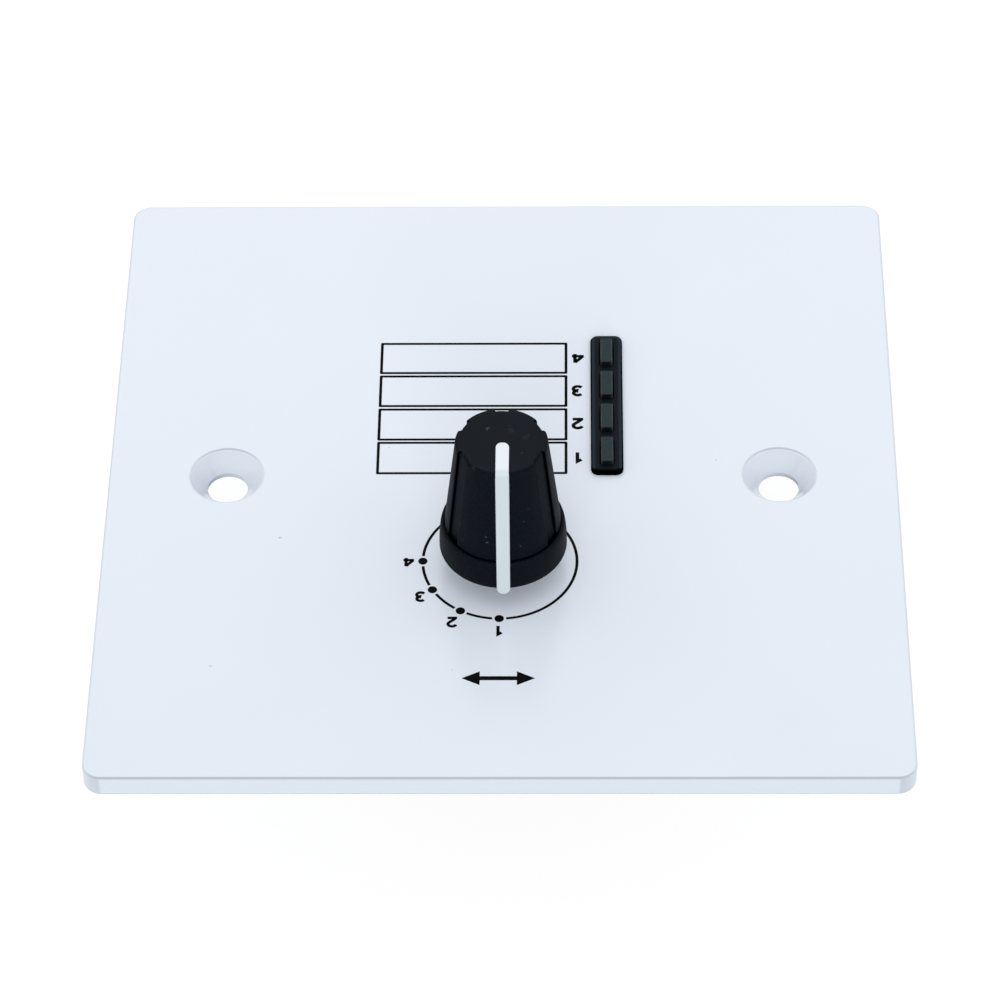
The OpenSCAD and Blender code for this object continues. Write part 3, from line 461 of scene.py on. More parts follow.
def addPrism(bm, points, low, high):
    bridgeRings(bm, [addRing(bm, points, low), addRing(bm, points, high)], capped=True)


def addSoftBox(bm, low, high, corner, soft, steps=3):
    size, centre = [high[k] - low[k] for k in (0, 1)], [(high[k] + low[k]) / 2 for k in (0, 1)]
    margin = min(soft * 1.5 + 0.02, min(size) * 0.45)
    addSlab(bm, slabWall(size, corner, high[2], low[2], soft, soft, centre, margin, steps))


def addOutline(bm, size, stroke, rounds, spot, heights, steps):      # a printed frame, drawn as a thin slab
    walls = [[(roundRect(size[0] + way * stroke, size[1] + way * stroke, bend, steps, spot), z)
              for z in heights] for way, bend in zip((1, -1), rounds)]
    addSlab(bm, walls[0], walls[1:])


def markEdges(bm, full):                     # writes how sharply the surface turns outwards, for worn edges, thin coat, painted highlights and painted shade along edges
    layer = bm.verts.layers.float.new("edge")
    for vert in bm.verts:
        turns = [math.degrees(e.calc_face_angle_signed(0)) for e in vert.link_edges if len(e.link_faces) == 2]
        vert[layer] = unit(max(turns, default=0) / full)


def solidMesh(name, bm, edges=50, tune=None):
    bmesh.ops.recalc_face_normals(bm, faces=bm.faces)
    if edges:
        markEdges(bm, edges)
    if tune:                                 # a last pass over the values that the mesh carries
        tune(bm)
    mesh = bpy.data.meshes.new(name)
    bm.to_mesh(mesh)
    bm.free()
    return mesh


def dress(name, mesh, replaced=None, body="wall_plate", smooth=35):
    mesh.shade_smooth()
    mesh.set_sharp_from_angle(angle=math.radians(smooth))
    piece = addObject(name, mesh)
    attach(piece, body)
    if replaced:
        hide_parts(replaced)


def makePiece(name, bm, material, replaced=None, body="wall_plate", edges=50, tune=None, rim=None):
    mesh = solidMesh(name, bm, edges, tune)
    for look in filter(None, (material, rim)):
        mesh.materials.append(look)
    dress(name, mesh, replaced, body)


def nodeBox(node):                           # a node's box in mm
    low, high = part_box(node)
    return Vector(low) / mm, Vector(high) / mm


def middle(box):
    return (box[0] + box[1]) / 2


def nodeCopy(node):                          # a merged copy of a node's mesh
    bm = bmesh.new()
    bm.from_mesh(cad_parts[node].data)
    bmesh.ops.remove_doubles(bm, verts=bm.verts, dist=1e-7)
    return bm


def solidBoxes(node):                        # boxes in mm of the separate solids in a node
    bm = nodeCopy(node)
    left, boxes = set(bm.verts), []
    while left:
        stack, seen = [left.pop()], []
        while stack:
            vert = stack.pop()
            seen.append(vert.co / mm)
            near = {e.other_vert(vert) for e in vert.link_edges} & left
            left -= near
            stack.extend(near)
        boxes.append([Vector([end(p[k] for p in seen) for k in range(3)]) for end in (min, max)])
    bm.free()
    return sorted(boxes, key=lambda box: (round(box[0].x, 3), round(box[0].y, 3)))


softEdges = {"angle": 30, "flat": 0.5, "segments": 2}       # in degrees, broken above and merged below


def softCopy(name, node, soft, material, body="wall_plate"):
    bm = nodeCopy(node)                      # the node's own shape with its sharp edges broken
    flat, angle = (math.radians(softEdges[key]) for key in ("flat", "angle"))
    bmesh.ops.dissolve_limit(bm, angle_limit=flat, verts=bm.verts, edges=bm.edges)
    sharp = [e for e in bm.edges if len(e.link_faces) == 2 and e.calc_face_angle(0) > angle]
    bmesh.ops.bevel(bm, geom=sharp, offset=soft * mm, offset_type="OFFSET", segments=softEdges["segments"],
                    profile=0.5, affect="EDGES", clamp_overlap=True)
    makePiece(name, bm, material, node, body)


# Geometry Nodes trees

def newBuild(name, **inputs):
    return newTree(name, "GeometryNodeTree", {"Geometry": "Geometry", **inputs, "Material": "Material"},
                   {"Geometry": "Geometry"})


def endBuild(tree, given, made, geometry):   # realize, then set the finish
    real = addNode(tree, "GeometryNodeRealizeInstances", {0: geometry})
    painted = addNode(tree, "GeometryNodeSetMaterial", {"Geometry": real[0], "Material": given["Material"]})
    feed(tree, made[0], painted[0])
    return tree


def namedValue(tree, label):                 # a value that the mesh carries, for a tree
    return addNode(tree, "GeometryNodeInputNamedAttribute", {"Name": label}, data_type="FLOAT")["Attribute"]


def makeRepeatTree():                        # one piece on every point, each with its own turn
    tree, given, made = newBuild("repeatOnPoints", Piece="Object", Wobble="Float", Seed="Int")
    source = addNode(tree, "GeometryNodeObjectInfo", {"Object": given["Piece"]})
    least = calc(tree, "MULTIPLY", given["Wobble"], -1.0)
    wobble = addNode(tree, "FunctionNodeRandomValue", {2: least, 3: given["Wobble"], "Seed": given["Seed"]},
                     data_type="FLOAT")
    turn = calc(tree, "ADD", namedValue(tree, "turn"), wobble[1])
    spin = addNode(tree, "ShaderNodeCombineXYZ", {"Z": turn})
    copies = addNode(tree, "GeometryNodeInstanceOnPoints", {
        "Points": given["Geometry"], "Instance": source["Geometry"], "Rotation": spin[0]})
    return endBuild(tree, given, made, copies[0])


def makeTrackTree():                         # flat copper tracks along curves
    tree, given, made = newBuild("boardTracks", Width="Float", Thickness="Float", Bend="Float")
    lines = addNode(tree, "GeometryNodeMeshToCurve", {"Mesh": given["Geometry"]})
    rounded = addNode(tree, "GeometryNodeFilletCurve", {
        "Curve": lines[0], "Count": 4, "Radius": given["Bend"], "Limit Radius": True}, mode="POLY")
    level = addNode(tree, "GeometryNodeSetCurveNormal", {"Curve": rounded[0]}, mode="Z_UP")
    section = addNode(tree, "GeometryNodeCurvePrimitiveQuadrilateral", {
        "Width": given["Width"], "Height": given["Thickness"]})
    ribbon = addNode(tree, "GeometryNodeCurveToMesh", {
        "Curve": level[0], "Profile Curve": section[0], "Fill Caps": True})
    return endBuild(tree, given, made, ribbon[0])


def makeFluteTree():                         # presses flutes into a turned body, where its grip value is set, and paints shade on their walls
    tree, given, made = newBuild("knobFlutes", Axis="Vector", Flutes="Int", Pitch="Float", Width="Float",
                                 Wall="Float", Depth="Float")
    work = partial(calc, tree)
    arm = vectorCalc(tree, "SUBTRACT", given["Axis"], addNode(tree, "GeometryNodeInputPosition")[0])
    flat = vectorCalc(tree, "MULTIPLY", arm[0], (1, 1, 0))[0]
    radius = vectorCalc(tree, "LENGTH", flat)["Value"]
    parts = addNode(tree, "ShaderNodeSeparateXYZ", {0: flat})
    angle = work("ARCTAN2", parts[0], parts[1])        # from the side opposite the pointer
    lap = work("FRACT", work("ADD", work("DIVIDE", angle, given["Pitch"]), 0.5))
    along = work("MULTIPLY", work("MULTIPLY", work("SUBTRACT", lap, 0.5), given["Pitch"]), radius)
    share = work("DIVIDE", along, work("MULTIPLY", given["Width"], 0.5))
    hollow = remap(tree, work("ABSOLUTE", share), 1.0, work("SUBTRACT", 1.0, given["Wall"]))
    reach = work("MULTIPLY", given["Pitch"], work("MULTIPLY", given["Flutes"], 0.5))
    fluted = work("LESS_THAN", work("ABSOLUTE", angle), reach)
    grip, film, cavity = (namedValue(tree, label) for label in ("grip", "film", "cavity"))
    press = work("MULTIPLY", work("MULTIPLY", hollow, fluted), grip)
    wall = work("MULTIPLY", work("MULTIPLY", press, work("SUBTRACT", 1.0, press)), 4.0)     # painted shade on the flute walls, 1 half way down
    wall = work("MULTIPLY", wall, work("SUBTRACT", 1.0, film))
    marked = addNode(tree, "GeometryNodeStoreNamedAttribute", {
        "Geometry": given["Geometry"], "Name": "cavity", "Value": work("MAXIMUM", wall, cavity)},
        data_type="FLOAT", domain="POINT")
    depth = work("DIVIDE", work("MULTIPLY", press, given["Depth"]), radius)
    inward = vectorCalc(tree, "SCALE", flat, Scale=depth)
    pressed = addNode(tree, "GeometryNodeSetPosition", {"Geometry": marked[0], "Offset": inward[0]})
    return endBuild(tree, given, made, pressed[0])


repeatTree, trackTree, fluteTree = makeRepeatTree(), makeTrackTree(), makeFluteTree()


def runTree(name, data, tree, **values):     # the tree's result as a plain mesh
    holder = addObject(name + "Holder", data)
    modifier = holder.modifiers.new("build", "NODES")
    modifier.node_group = tree
    for item in tree.interface.items_tree:
        if item.in_out == "INPUT" and item.name in values:
            modifier[item.identifier] = values[item.name]
    graph = bpy.context.evaluated_depsgraph_get()
    mesh = bpy.data.meshes.new_from_object(holder.evaluated_get(graph), depsgraph=graph)
    holder.modifiers.remove(modifier)
    bpy.data.objects.remove(holder)
    return mesh


def repeatPiece(name, bm, points, material, replaced=None, turns=(0,), wobble=0, seed=3):   # degrees
    single = addObject(name + "Single", solidMesh(name + "Single", bm))
    spots = [(point, turn) for point in points for turn in turns]
    places = bpy.data.meshes.new(name + "Points")
    places.from_pydata([(point[0] * mm, point[1] * mm, 0) for point, turn in spots], [], [])
    values = places.attributes.new("turn", "FLOAT", "POINT")
    values.data.foreach_set("value", [math.radians(turn) for point, turn in spots])
    mesh = runTree(name, places, repeatTree, Piece=single, Wobble=math.radians(wobble), Seed=seed,
                   Material=material)
    bpy.data.objects.remove(single)
    dress(name, mesh, replaced)


print("trees built")


# Face plate

plateLow, plateHigh = nodeBox("face_plate")
plateFront, plateRear = plateHigh.z, plateLow.z
knobAxis = tuple(middle(nodeBox("knob_core"))[:2])
stripSpot = (-11.4, -10.5)
facePlate = {
    "corner": 2.0, "edgeRound": 0.2, "margin": 0.7, "guard": 0.04,
    "holeSpacing": 60.3, "holeRadius": 2.2, "holeLip": 0.12,
    "sinkRadius": 4.0, "sinkAngle": 82, "sinkLip": 0.3, "sinkFoot": 0.1, "sinkNear": 0.1,
    "apron": (0.5, 0.2, 0.3),                # flat rings round each hole, two in front and one behind
    "shaftHole": 3.65, "shaftLip": 0.1, "shaftMargin": 0.15,
    "slotSize": (2.7, 20.1), "slotCorner": 0.16, "slotLip": 0.05,
    "sinkShadeLow": 0.25, "sinkShadeAway": 0.2,      # painted shade low in a countersink, and on its walls that face aside
    "sinkShadeEnd": 0.95,
    "edgeAside": 0.3, "edgeAway": 0.25,      # edge value on edges that face aside, and its loss on far ones, which makes the edge line partly painted shade
}


def makeFacePlate(corner, edgeRound, margin, guard, holeSpacing, holeRadius, holeLip, sinkRadius, sinkAngle,
                  sinkLip, sinkFoot, sinkNear, apron, shaftHole, shaftLip, shaftMargin, slotSize,
                  slotCorner, slotLip, sinkShadeLow, sinkShadeAway, sinkShadeEnd, edgeAside, edgeAway):
    front, rear = plateFront, plateRear
    outer = slabWall((plateHigh - plateLow)[:2], corner, front, rear, edgeRound, edgeRound, margin=margin,
                     steps=10, guard=guard)
    run = sinkRadius - holeRadius
    depth = run / math.tan(math.radians(sinkAngle / 2))
    sink = softProfile([(sinkRadius + apron[0], front, 0), (sinkRadius + apron[1], front, 0),
                        (sinkRadius, front, sinkLip),
                        (sinkRadius - run * sinkNear, front - depth * sinkNear, 0),
                        (holeRadius, front - depth, sinkFoot), (holeRadius, rear, holeLip),
                        (holeRadius + apron[2], rear, 0)])
    holes = [[(circle(radius, 96, (side * holeSpacing / 2, 0)), z) for radius, z in sink] for side in (-1, 1)]
    holes.append(boreWall(shaftHole, front, rear, shaftLip, knobAxis, shaftMargin, 64))
    holes.append(slotWall(slotSize, slotCorner, front, rear, slotLip, slotLip, stripSpot))
    bm = bmesh.new()
    film = bm.verts.layers.float.new("film")
    addSlab(bm, outer, holes)

    def thinCoatAndShade(bm):                        # painted shade: the countersinks darken towards their rim and where their walls face +Y, and the edge line is darkest on edges that face +Y
        edge = bm.verts.layers.float["edge"]
        for vert in bm.verts:
            x, y = abs(vert.co.x / mm) - holeSpacing / 2, vert.co.y / mm
            span = (math.hypot(x, y) - holeRadius) / run
            facing = vert.normal.y / max(math.hypot(vert.normal.x, vert.normal.y), 1e-6)
            sinkShade = (sinkShadeLow + (1 - sinkShadeLow) * span) * max(sinkShadeAway + (1 - sinkShadeAway) * facing, 0)
            vert[film] = sinkShade if span < sinkShadeEnd else 0.0
            vert[edge] *= edgeAside + (1 - edgeAside) * max(facing, 0) ** 2 - edgeAway * max(-facing, 0)

    makePiece("facePlate", bm, whiteCoat, "face_plate", edges=12, tune=thinCoatAndShade)


makeFacePlate(**facePlate)
print("face plate made")


# Print on the plate: dial, position marks, label boxes and a turn arrow

platePrint = {
    "sunk": 0.02, "proud": 0.012,            # ink, below and above the coat
    "dial": (0.19, 12.77), "dialRadius": 8.26, "stroke": 0.315,
    "dotRadius": 0.5, "dotGap": 0.74, "positions": 4, "step": 30,
    "boxLeft": -6.9, "boxRight": 13.7, "boxHeight": 4.62, "boxRounds": (0.16, 0.06),
    "boxRows": (-2.58, -7.7, -12.87, -18.03),
    "arrowSpot": (0.2, 29.4), "arrowLength": 7.7, "arrowHeight": 1.9, "arrowBar": 0.55,
    "bold": 0.225, "wide": 1.28,             # the numbers' strokes, by their height, and their width
    "numbers": (
        {"tall": 1.55, "spots": [(0.25, 22.67), (5.17, 21.53), (8.58, 17.89), (9.99, 12.9)]},      # dial
        {"tall": 1.78, "spots": [(-8.2, -2.7), (-8.2, -7.8), (-8.2, -12.9), (-8.2, -18.0)]},       # strip
    ),
}


def addArc(bm, centre, radius, width, start, end, low, high, step=2.0):
    count = max(2, int(abs(end - start) / step))
    inner, outer = radius - width / 2, radius + width / 2
    rows = []
    for i in range(count + 1):
        a = math.radians(start + (end - start) * i / count)
        rows.append([addPoint(bm, centre[0] + r * math.sin(a), centre[1] + r * math.cos(a), z)
                     for r, z in ((inner, low), (outer, low), (outer, high), (inner, high))])
    bridgeRings(bm, rows, capped=True)


def arcPoints(centre, radius, start, end, steps=10):
    angles = [math.radians(start + (end - start) * i / steps) for i in range(steps + 1)]
    return [(centre[0] + radius * math.cos(a), centre[1] + radius * math.sin(a)) for a in angles]


digitStrokes = {                             # centre lines, one unit tall
    1: [[(-0.22, 0.29), (0.03, 0.5), (0.03, -0.5)]],
    2: [arcPoints((0, 0.22), 0.28, 165, -35) + [(-0.22, -0.42)], [(-0.34, -0.5), (0.32, -0.5)]],
    3: [arcPoints((0, 0.245), 0.255, 150, -75) + arcPoints((0, -0.225), 0.275, 75, -150)],
    4: [[(0.17, -0.5), (0.17, 0.5)], [(0.17, 0.47), (-0.34, -0.24)], [(-0.38, -0.24), (0.36, -0.24)]],
}


def addStroke(bm, points, width, low, high):
    rows = []
    for i, point in enumerate(points):
        p = Vector(point)
        back = (p - Vector(points[i - 1])).normalized() if i else None
        ahead = (Vector(points[i + 1]) - p).normalized() if i + 1 < len(points) else None
        way = ((back or ahead) + (ahead or back)).normalized()
        reach = width / 2 / max(0.4, way.dot(ahead or back))      # sharp mitres are cut short
        a, b = (p + Vector((-way.y, way.x)) * reach * turn for turn in (1, -1))
        rows.append([addPoint(bm, *side, z) for side, z in ((a, low), (b, low), (b, high), (a, high))])
    bridgeRings(bm, rows, capped=True)


def addNumber(bm, number, spot, tall, bold, low, high, wide):
    for line in digitStrokes[number]:
        points = [(spot[0] + x * wide * (tall - bold), spot[1] + y * (tall - bold)) for x, y in line]
        addStroke(bm, points, bold, low, high)


def makePrint(sunk, proud, dial, dialRadius, stroke, dotRadius, dotGap, positions, step, boxLeft, boxRight,
              boxHeight, boxRounds, boxRows, arrowSpot, arrowLength, arrowHeight, arrowBar, bold, wide,
              numbers):
    bm = bmesh.new()
    low, high = plateFront - sunk, plateFront + proud
    gap = math.degrees(dotGap / dialRadius)
    starts = [i * step for i in range(positions)]
    for start, end in zip(starts, starts[1:] + [360]):
        a = math.radians(start)
        spot = (dial[0] + dialRadius * math.sin(a), dial[1] + dialRadius * math.cos(a))
        addPrism(bm, circle(dotRadius, 32, spot), low, high)
        addArc(bm, dial, dialRadius, stroke, start + gap, end - gap, low, high)
    for row in boxRows:
        spot = ((boxRight + boxLeft) / 2, row)
        addOutline(bm, (boxRight - boxLeft, boxHeight), stroke, boxRounds, spot, (high, low), 3)
    half, head, bar = arrowLength / 2, arrowHeight / 2, arrowBar / 2
    right = [(half, 0), (half - 2 * head, head), (half - 2 * head, bar)]
    rim = right + [(-x, y) for x, y in right[::-1]]
    rim += [(x, -y) for x, y in rim[::-1] if abs(x) < half]
    addPrism(bm, [(arrowSpot[0] + x, arrowSpot[1] + y) for x, y in rim], low, high)
    for row in numbers:
        for i, spot in enumerate(row["spots"]):
            addNumber(bm, i + 1, spot, row["tall"], row["tall"] * bold, low, high, wide)
    bmesh.ops.remove_doubles(bm, verts=bm.verts, dist=1e-7)
    makePiece("platePrint", bm, printInk, edges=0)


makePrint(**platePrint)
print("print made")


# Knob

knobLow, knobHigh = nodeBox("knob_body")
knob = {
    "topSink": 0.05,                         # the top lies this far under the pointer's face
    "skirtRadius": 6.8, "skirtFoot": 0.12, "skirtHeight": 3.5, "shoulderRadius": 6.45, "shoulderRound": 0.22,
    "gripRadius": 6.2, "topRadius": 4.85, "topRound": 0.32,
    "hollowRadius": 5.0, "hollowDepth": 2.0, "hollowRound": 0.15,
    "boreRadius": 3.83, "boreTop": 13.3, "boreLip": 0.1,
    "columns": 720, "gripRows": 14, "groove": 0.42, "grooveRows": (0.06, 0.15, 0.28, 0.42),
}
flutes = {"count": 5, "pitch": 60, "width": 2.0, "wall": 0.36, "depth": 0.32}


def makeKnob(topSink, skirtRadius, skirtFoot, skirtHeight, shoulderRadius, shoulderRound, gripRadius,
             topRadius, topRound, hollowRadius, hollowDepth, hollowRound, boreRadius, boreTop, boreLip,
             columns, gripRows, groove, grooveRows):
    foot, top = knobLow.z, knobHigh.z - topSink
    ledge, roof = foot + skirtHeight, foot + hollowDepth
    outline = [(0, foot + boreTop, 0), (boreRadius, foot + boreTop, 0), (boreRadius, roof, boreLip),
               (hollowRadius, roof, hollowRound), (hollowRadius, foot, hollowRound),
               (skirtRadius - 0.1, foot, skirtFoot)]
    for i in range(8):                       # the skirt draws in towards its shoulder
        a = math.pi / 2 * i / 8 * 0.96
        outline.append((shoulderRadius + (skirtRadius - shoulderRadius) * math.cos(a),
                        foot + skirtFoot + (skirtHeight - skirtFoot) * math.sin(a), 0))
    outline += [(shoulderRadius, ledge, shoulderRound), (gripRadius - 0.02, ledge, 0)]
    profile = [(r, z, 0.0) for r, z in softProfile(outline, 4)]      # the last value lets the flutes in
    tall = top - topRound - ledge
    for rise in (*grooveRows, *(tall * (i + 1) / gripRows for i in range(gripRows))):
        profile.append((gripRadius + (topRadius - gripRadius) * rise / (top - ledge), ledge + rise, 1.0))
    for i in range(1, 7):                    # rounded top edge
        a = math.pi / 2 * i / 6
        profile.append((topRadius + 0.02 - topRound * (1 - math.cos(a)),
                        top - topRound * (1 - math.sin(a)), 1.0))
    profile += [(topRadius - topRound - 0.15, top, 1.0), (topRadius - 1.0, top, 0.0),
                (topRadius * 0.4, top, 0.0), (0, top, 0.0)]
    bm = bmesh.new()
    grip, film, cavity = (bm.verts.layers.float.new(label) for label in ("grip", "film", "cavity"))
    rings = addLathe(bm, [(r, z) for r, z, press in profile], knobAxis, columns)
    # painted light on the top face, and painted shade in the groove above the ledge
    for ring, (r, z, press) in zip(rings, profile):
        valley = -0.02 < z - ledge < groove and r < gripRadius + 0.1
        for vert in ring:
            vert[grip], vert[film] = press, float(z > top - 0.01)
            vert[cavity] = 1 - (z - ledge) / groove if valley else 0.0
    axis = (knobAxis[0] * mm, knobAxis[1] * mm, 0.0)
    mesh = runTree("knob", solidMesh("knobTurned", bm, 60), fluteTree, Axis=axis, Flutes=flutes["count"],
                   Pitch=math.radians(flutes["pitch"]), Width=flutes["width"] * mm, Wall=flutes["wall"],
                   Depth=flutes["depth"] * mm, Material=softBlack)
    dress("knobBody", mesh, "knob_body", "selector", smooth=32)


makeKnob(**knob)

pointer = {
    "width": 1.46, "footWidth": 1.42, "soft": 0.16, "depth": 0.55, "aside": -0.1,
    "topRadius": 4.85, "bend": 0.5,
    "fade": 1.1,                             # the painted shade on the slope sets in over this length, up to the bend
    "stride": 0.04,
}


def makePointer(width, footWidth, soft, depth, aside, topRadius, bend, fade, stride):
    low, high = nodeBox("knob_pointer")
    axis = Vector(knobAxis)
    line = [Vector(p) for p in softProfile([(low.y - axis.y, high.z, 0), (topRadius, high.z, bend),
                                            (high.y - axis.y, low.z, 0)], 8)]
    path, reach = [line[0]], [0.0]           # even steps along the top and down the slope
    for a, b in zip(line, line[1:]):
        count = max(1, math.ceil((b - a).length / stride))
        path += [a + (b - a) * (i + 1) / count for i in range(count)]
    for a, b in zip(path, path[1:]):
        reach.append(reach[-1] + (b - a).length)
    total, rows = reach[-1], []
    bm = bmesh.new()
    film = bm.verts.layers.float.new("film")
    for i, p in enumerate(path):
        ahead = (path[min(i + 1, len(path) - 1)] - path[max(i - 1, 0)]).normalized()
        out = Vector((-ahead.y, ahead.x))
        half = (width + (footWidth - width) * reach[i] / total) / 2
        near = min(reach[i], total - reach[i])
        half = max(0.02, half * math.sqrt(1 - (1 - min(1.0, near / half)) ** 2))      # round ends
        drop = soft * (1 - math.sqrt(1 - (1 - min(1.0, near / soft)) ** 2)) * 0.8
        bow = min(soft, half * 0.9)
        section = softProfile([(-half, -depth, 0), (-half, -drop, bow), (half, -drop, bow),
                               (half, -depth, 0)], 4)
        rows.append([])
        for across, up in section:
            q = p + out * up
            rows[-1].append(addPoint(bm, axis.x + aside + across, axis.y + q.x, q.y))
            rows[-1][-1][film] = unit((reach[i] - topRadius + fade) / fade)
    bridgeRings(bm, rows, capped=True)
    makePiece("knobPointer", bm, pointerWhite, "knob_pointer", "selector")


makePointer(**pointer)
print("knob made")


# Indicator strip

bezel = {
    "size": (3.55, 21.2), "corner": 0.85, "edgeRound": 0.5, "margin": 0.6,
    "neck": (2.6, 20.0), "neckCorner": 0.1,
    "window": (1.45, 3.75), "windowCorner": 0.12, "windowRound": 0.14,
    "windowMargin": 0.2, "seam": 0.02,
    "hook": (2.0, 0.5, 1.2), "hookRoot": 0.1, "hookDrop": 0.05,     # snap hooks: width, reach and height
    "paintedHighlight": ((0.08, 0.0), (0.18, 1.0), (0.36, 1.0), (0.6, 0.2)),     # painted highlight by the distance from the rim
    "highlightFoot": 0.2,                        # and only this far above the plate
    "shade": ((0.1, 1.0), (0.2, 0.0)),       # painted shade by the distance from the rim
    "frontEnd": 0.55, "frontShade": 0.56,    # painted shade on the end that faces +Y
}
lens = {"corner": 0.2, "soft": 0.2, "reach": 1.6}      # the painted light's reach down from the top is a share of the soft edge


def makeBezel(size, corner, edgeRound, margin, neck, neckCorner, window, windowCorner, windowRound,
              windowMargin, seam, hook, hookRoot, hookDrop, paintedHighlight, highlightFoot, shade, frontEnd, frontShade):
    low, high = nodeBox("indicator_bezel")
    flange = slabWall(size, corner, high.z, plateFront, edgeRound, seam, stripSpot, margin)
    rim = roundRect(*neck, neckCorner, 6, stripSpot)
    windows = [slotWall(window, windowCorner, high.z, low.z, windowRound, seam, spot[:2], windowMargin)
               for spot in (middle(nodeBox("light_pipe_%d" % i)) for i in range(1, 5))]
    bm = bmesh.new()
    film, cavity = (bm.verts.layers.float.new(label) for label in ("film", "cavity"))
    addSlab(bm, flange[:-1] + [(rim, plateFront), (rim, low.z)], windows)
    # painted highlight on the ridge and panel, painted shade on the outer border and on the end that faces +Y
    for vert in bm.verts:
        place = [vert.co[k] / mm - stripSpot[k] for k in (0, 1)]
        inset = min(size[k] / 2 - abs(place[k]) for k in (0, 1))
        front = size[1] / 2 - place[1] < frontEnd
        vert[film] = 0.0 if front or vert.co.z / mm < plateFront + highlightFoot else ramp(inset, paintedHighlight)
        vert[cavity] = max(ramp(inset, shade), frontShade if front else 0.0)
    width, reach, tall = hook
    for way in (-1, 1):
        edge = stripSpot[1] + way * neck[1] / 2
        side = [(edge - way * hookRoot, 0), (edge + way * reach, 0), (edge - way * hookRoot, -tall)]
        bridgeRings(bm, [[addPoint(bm, stripSpot[0] + x, y, z - hookDrop) for y, z in side]
                         for x in (-width / 2, width / 2)], capped=True)
    makePiece("indicatorBezel", bm, bezelBlack, "indicator_bezel")


def makeLens(number, corner, soft, reach):
    low, high = nodeBox("light_pipe_%d" % number)
    bm = bmesh.new()
    film = bm.verts.layers.float.new("film")
    addSoftBox(bm, low, high, corner, soft, 4)

    def paintLensLight(bm):                        # painted light: a lighter top over dark sides, and painted highlights on the long edges only
        edge = bm.verts.layers.float["edge"]
        for vert in bm.verts:
            vert[film] = unit(reach - reach * (high.z - vert.co.z / mm) / soft)
            vert[edge] *= min(1.0, 2 * abs(vert.normal.x))

    makePiece("lightPipe%d" % number, bm, smokedLens, "light_pipe_%d" % number, tune=paintLensLight)


makeBezel(**bezel)
for number in range(1, 5):
    makeLens(number, **lens)
print("indicator strip made")


# Circuit board and its pins

boardLow, boardHigh = nodeBox("circuit_board")
boardFront, boardRear = boardHigh.z, boardLow.z
chipBox, regulatorBox = nodeBox("controller_chip"), nodeBox("regulator")
dipBox, crystalBox, headerBox = nodeBox("dip_body"), nodeBox("crystal"), nodeBox("pin_header")
jackBoxes = [nodeBox("jack_1"), nodeBox("jack_2")]
canBoxes, screwBoxes = solidBoxes("can_capacitors"), solidBoxes("board_screws")
resistorBoxes, capacitorBoxes = solidBoxes("chip_resistors"), solidBoxes("chip_capacitors")
pinPlaces = {
    "postReach": 5.7, "postRise": 3.4,       # the jacks' posts, from each jack's middle
    "commonReach": 4.3, "commonWidth": 5,    # the ring that all positions share has its pin to one side
    "wireHalf": 0.175,
}
board = {
    "corner": 2.0, "soft": 0.1, "lip": 0.03, "margin": 0.08, "upright": 0.5,
    "holes": {"screws": 1.7, "switch": 0.5, "wires": 0.38, "header": 0.5, "posts": 1.55},
}


def findPins(postReach, postRise, commonReach, commonWidth, wireHalf):
    pins = {"screws": [middle(box) for box in screwBoxes], "wires": [], "posts": [], "switch": [],
            "header": [middle(box) for box in solidBoxes("header_pins")]}
    for i, box in enumerate(jackBoxes):
        jack = middle(box)
        pins["posts"] += [Vector((jack.x + side * postReach, jack.y + postRise, 0)) for side in (-1, 1)]
        for wire in solidBoxes("jack_contacts_%d" % (i + 1)):
            pins["wires"].append(Vector((middle(wire).x, wire[0].y + wireHalf, 0)))
    for box in solidBoxes("switch_contacts"):
        common = box[1].x - box[0].x > commonWidth
        pins["switch"].append(middle(box) + Vector((commonReach if common else 0, 0, 0)))
    pins["switch"].sort(key=lambda spot: spot.x)
    return pins


def makeBoard(corner, soft, lip, margin, upright, holes):
    outer = slabWall((boardHigh - boardLow)[:2], corner, boardFront, boardRear, soft, soft,
                     middle((boardLow, boardHigh))[:2], steps=8)
    bores = [boreWall(radius, boardFront, boardRear, lip, spot[:2], margin, 20)
             for kind, radius in holes.items() for spot in boardPins[kind]]
    bm = bmesh.new()
    addSlab(bm, outer, bores)

    def bareRim(bm):                         # the faces that stand upright show the laminate
        bm.normal_update()
        for face in bm.faces:
            face.material_index = int(abs(face.normal.z) < upright)

    makePiece("circuitBoard", bm, solderMask, "circuit_board", tune=bareRim, rim=laminateEdge)


boardPins = findPins(**pinPlaces)
makeBoard(**board)

leadPitch = {"chip": 1.27, "dip": 2.54, "regulator": 2.3}
chipLeads = [middle(chipBox).x + (i - 4.5) * leadPitch["chip"] for i in range(10)]
dipLeads = [middle(dipBox).x + (i - 1.5) * leadPitch["dip"] for i in range(4)]
regulatorLeads = [middle(regulatorBox).x + (i - 1) * leadPitch["regulator"] for i in range(3)]
routes = {
    "chamfer": 0.7, "levels": [6.6 + 0.8 * i for i in range(8)], "tuck": 1,     # tuck: how far under a part
    "stub": 1.6, "dipDrops": (1.3, 2.1, 1.3), "busEnd": 2.5, "feedRow": 0.6, "elbow": (3.6, 5.1),
    "padShift": 0.2, "padChamfer": 0.05, "laps": (0.5, 0.3),      # laps: power tracks over their pads
    "headerStubs": ((-1.4, -2.6), (-1.4, -2.4), (0, -7)),
    "looseVias": [(-20.5, 4.0), (-20.5, -2.5), (-21.5, -9.0), (0.2, 1.2), (0.2, -6.4), (-3.5, -8.2),
                  (21.5, 8.4), (22, -9.5), (22, 24.5), (-21.8, 17.5), (-12.0, 11.5), (9.6, 27.8),
                  (19.5, 23.6), (-2.4, 4.6)],
}
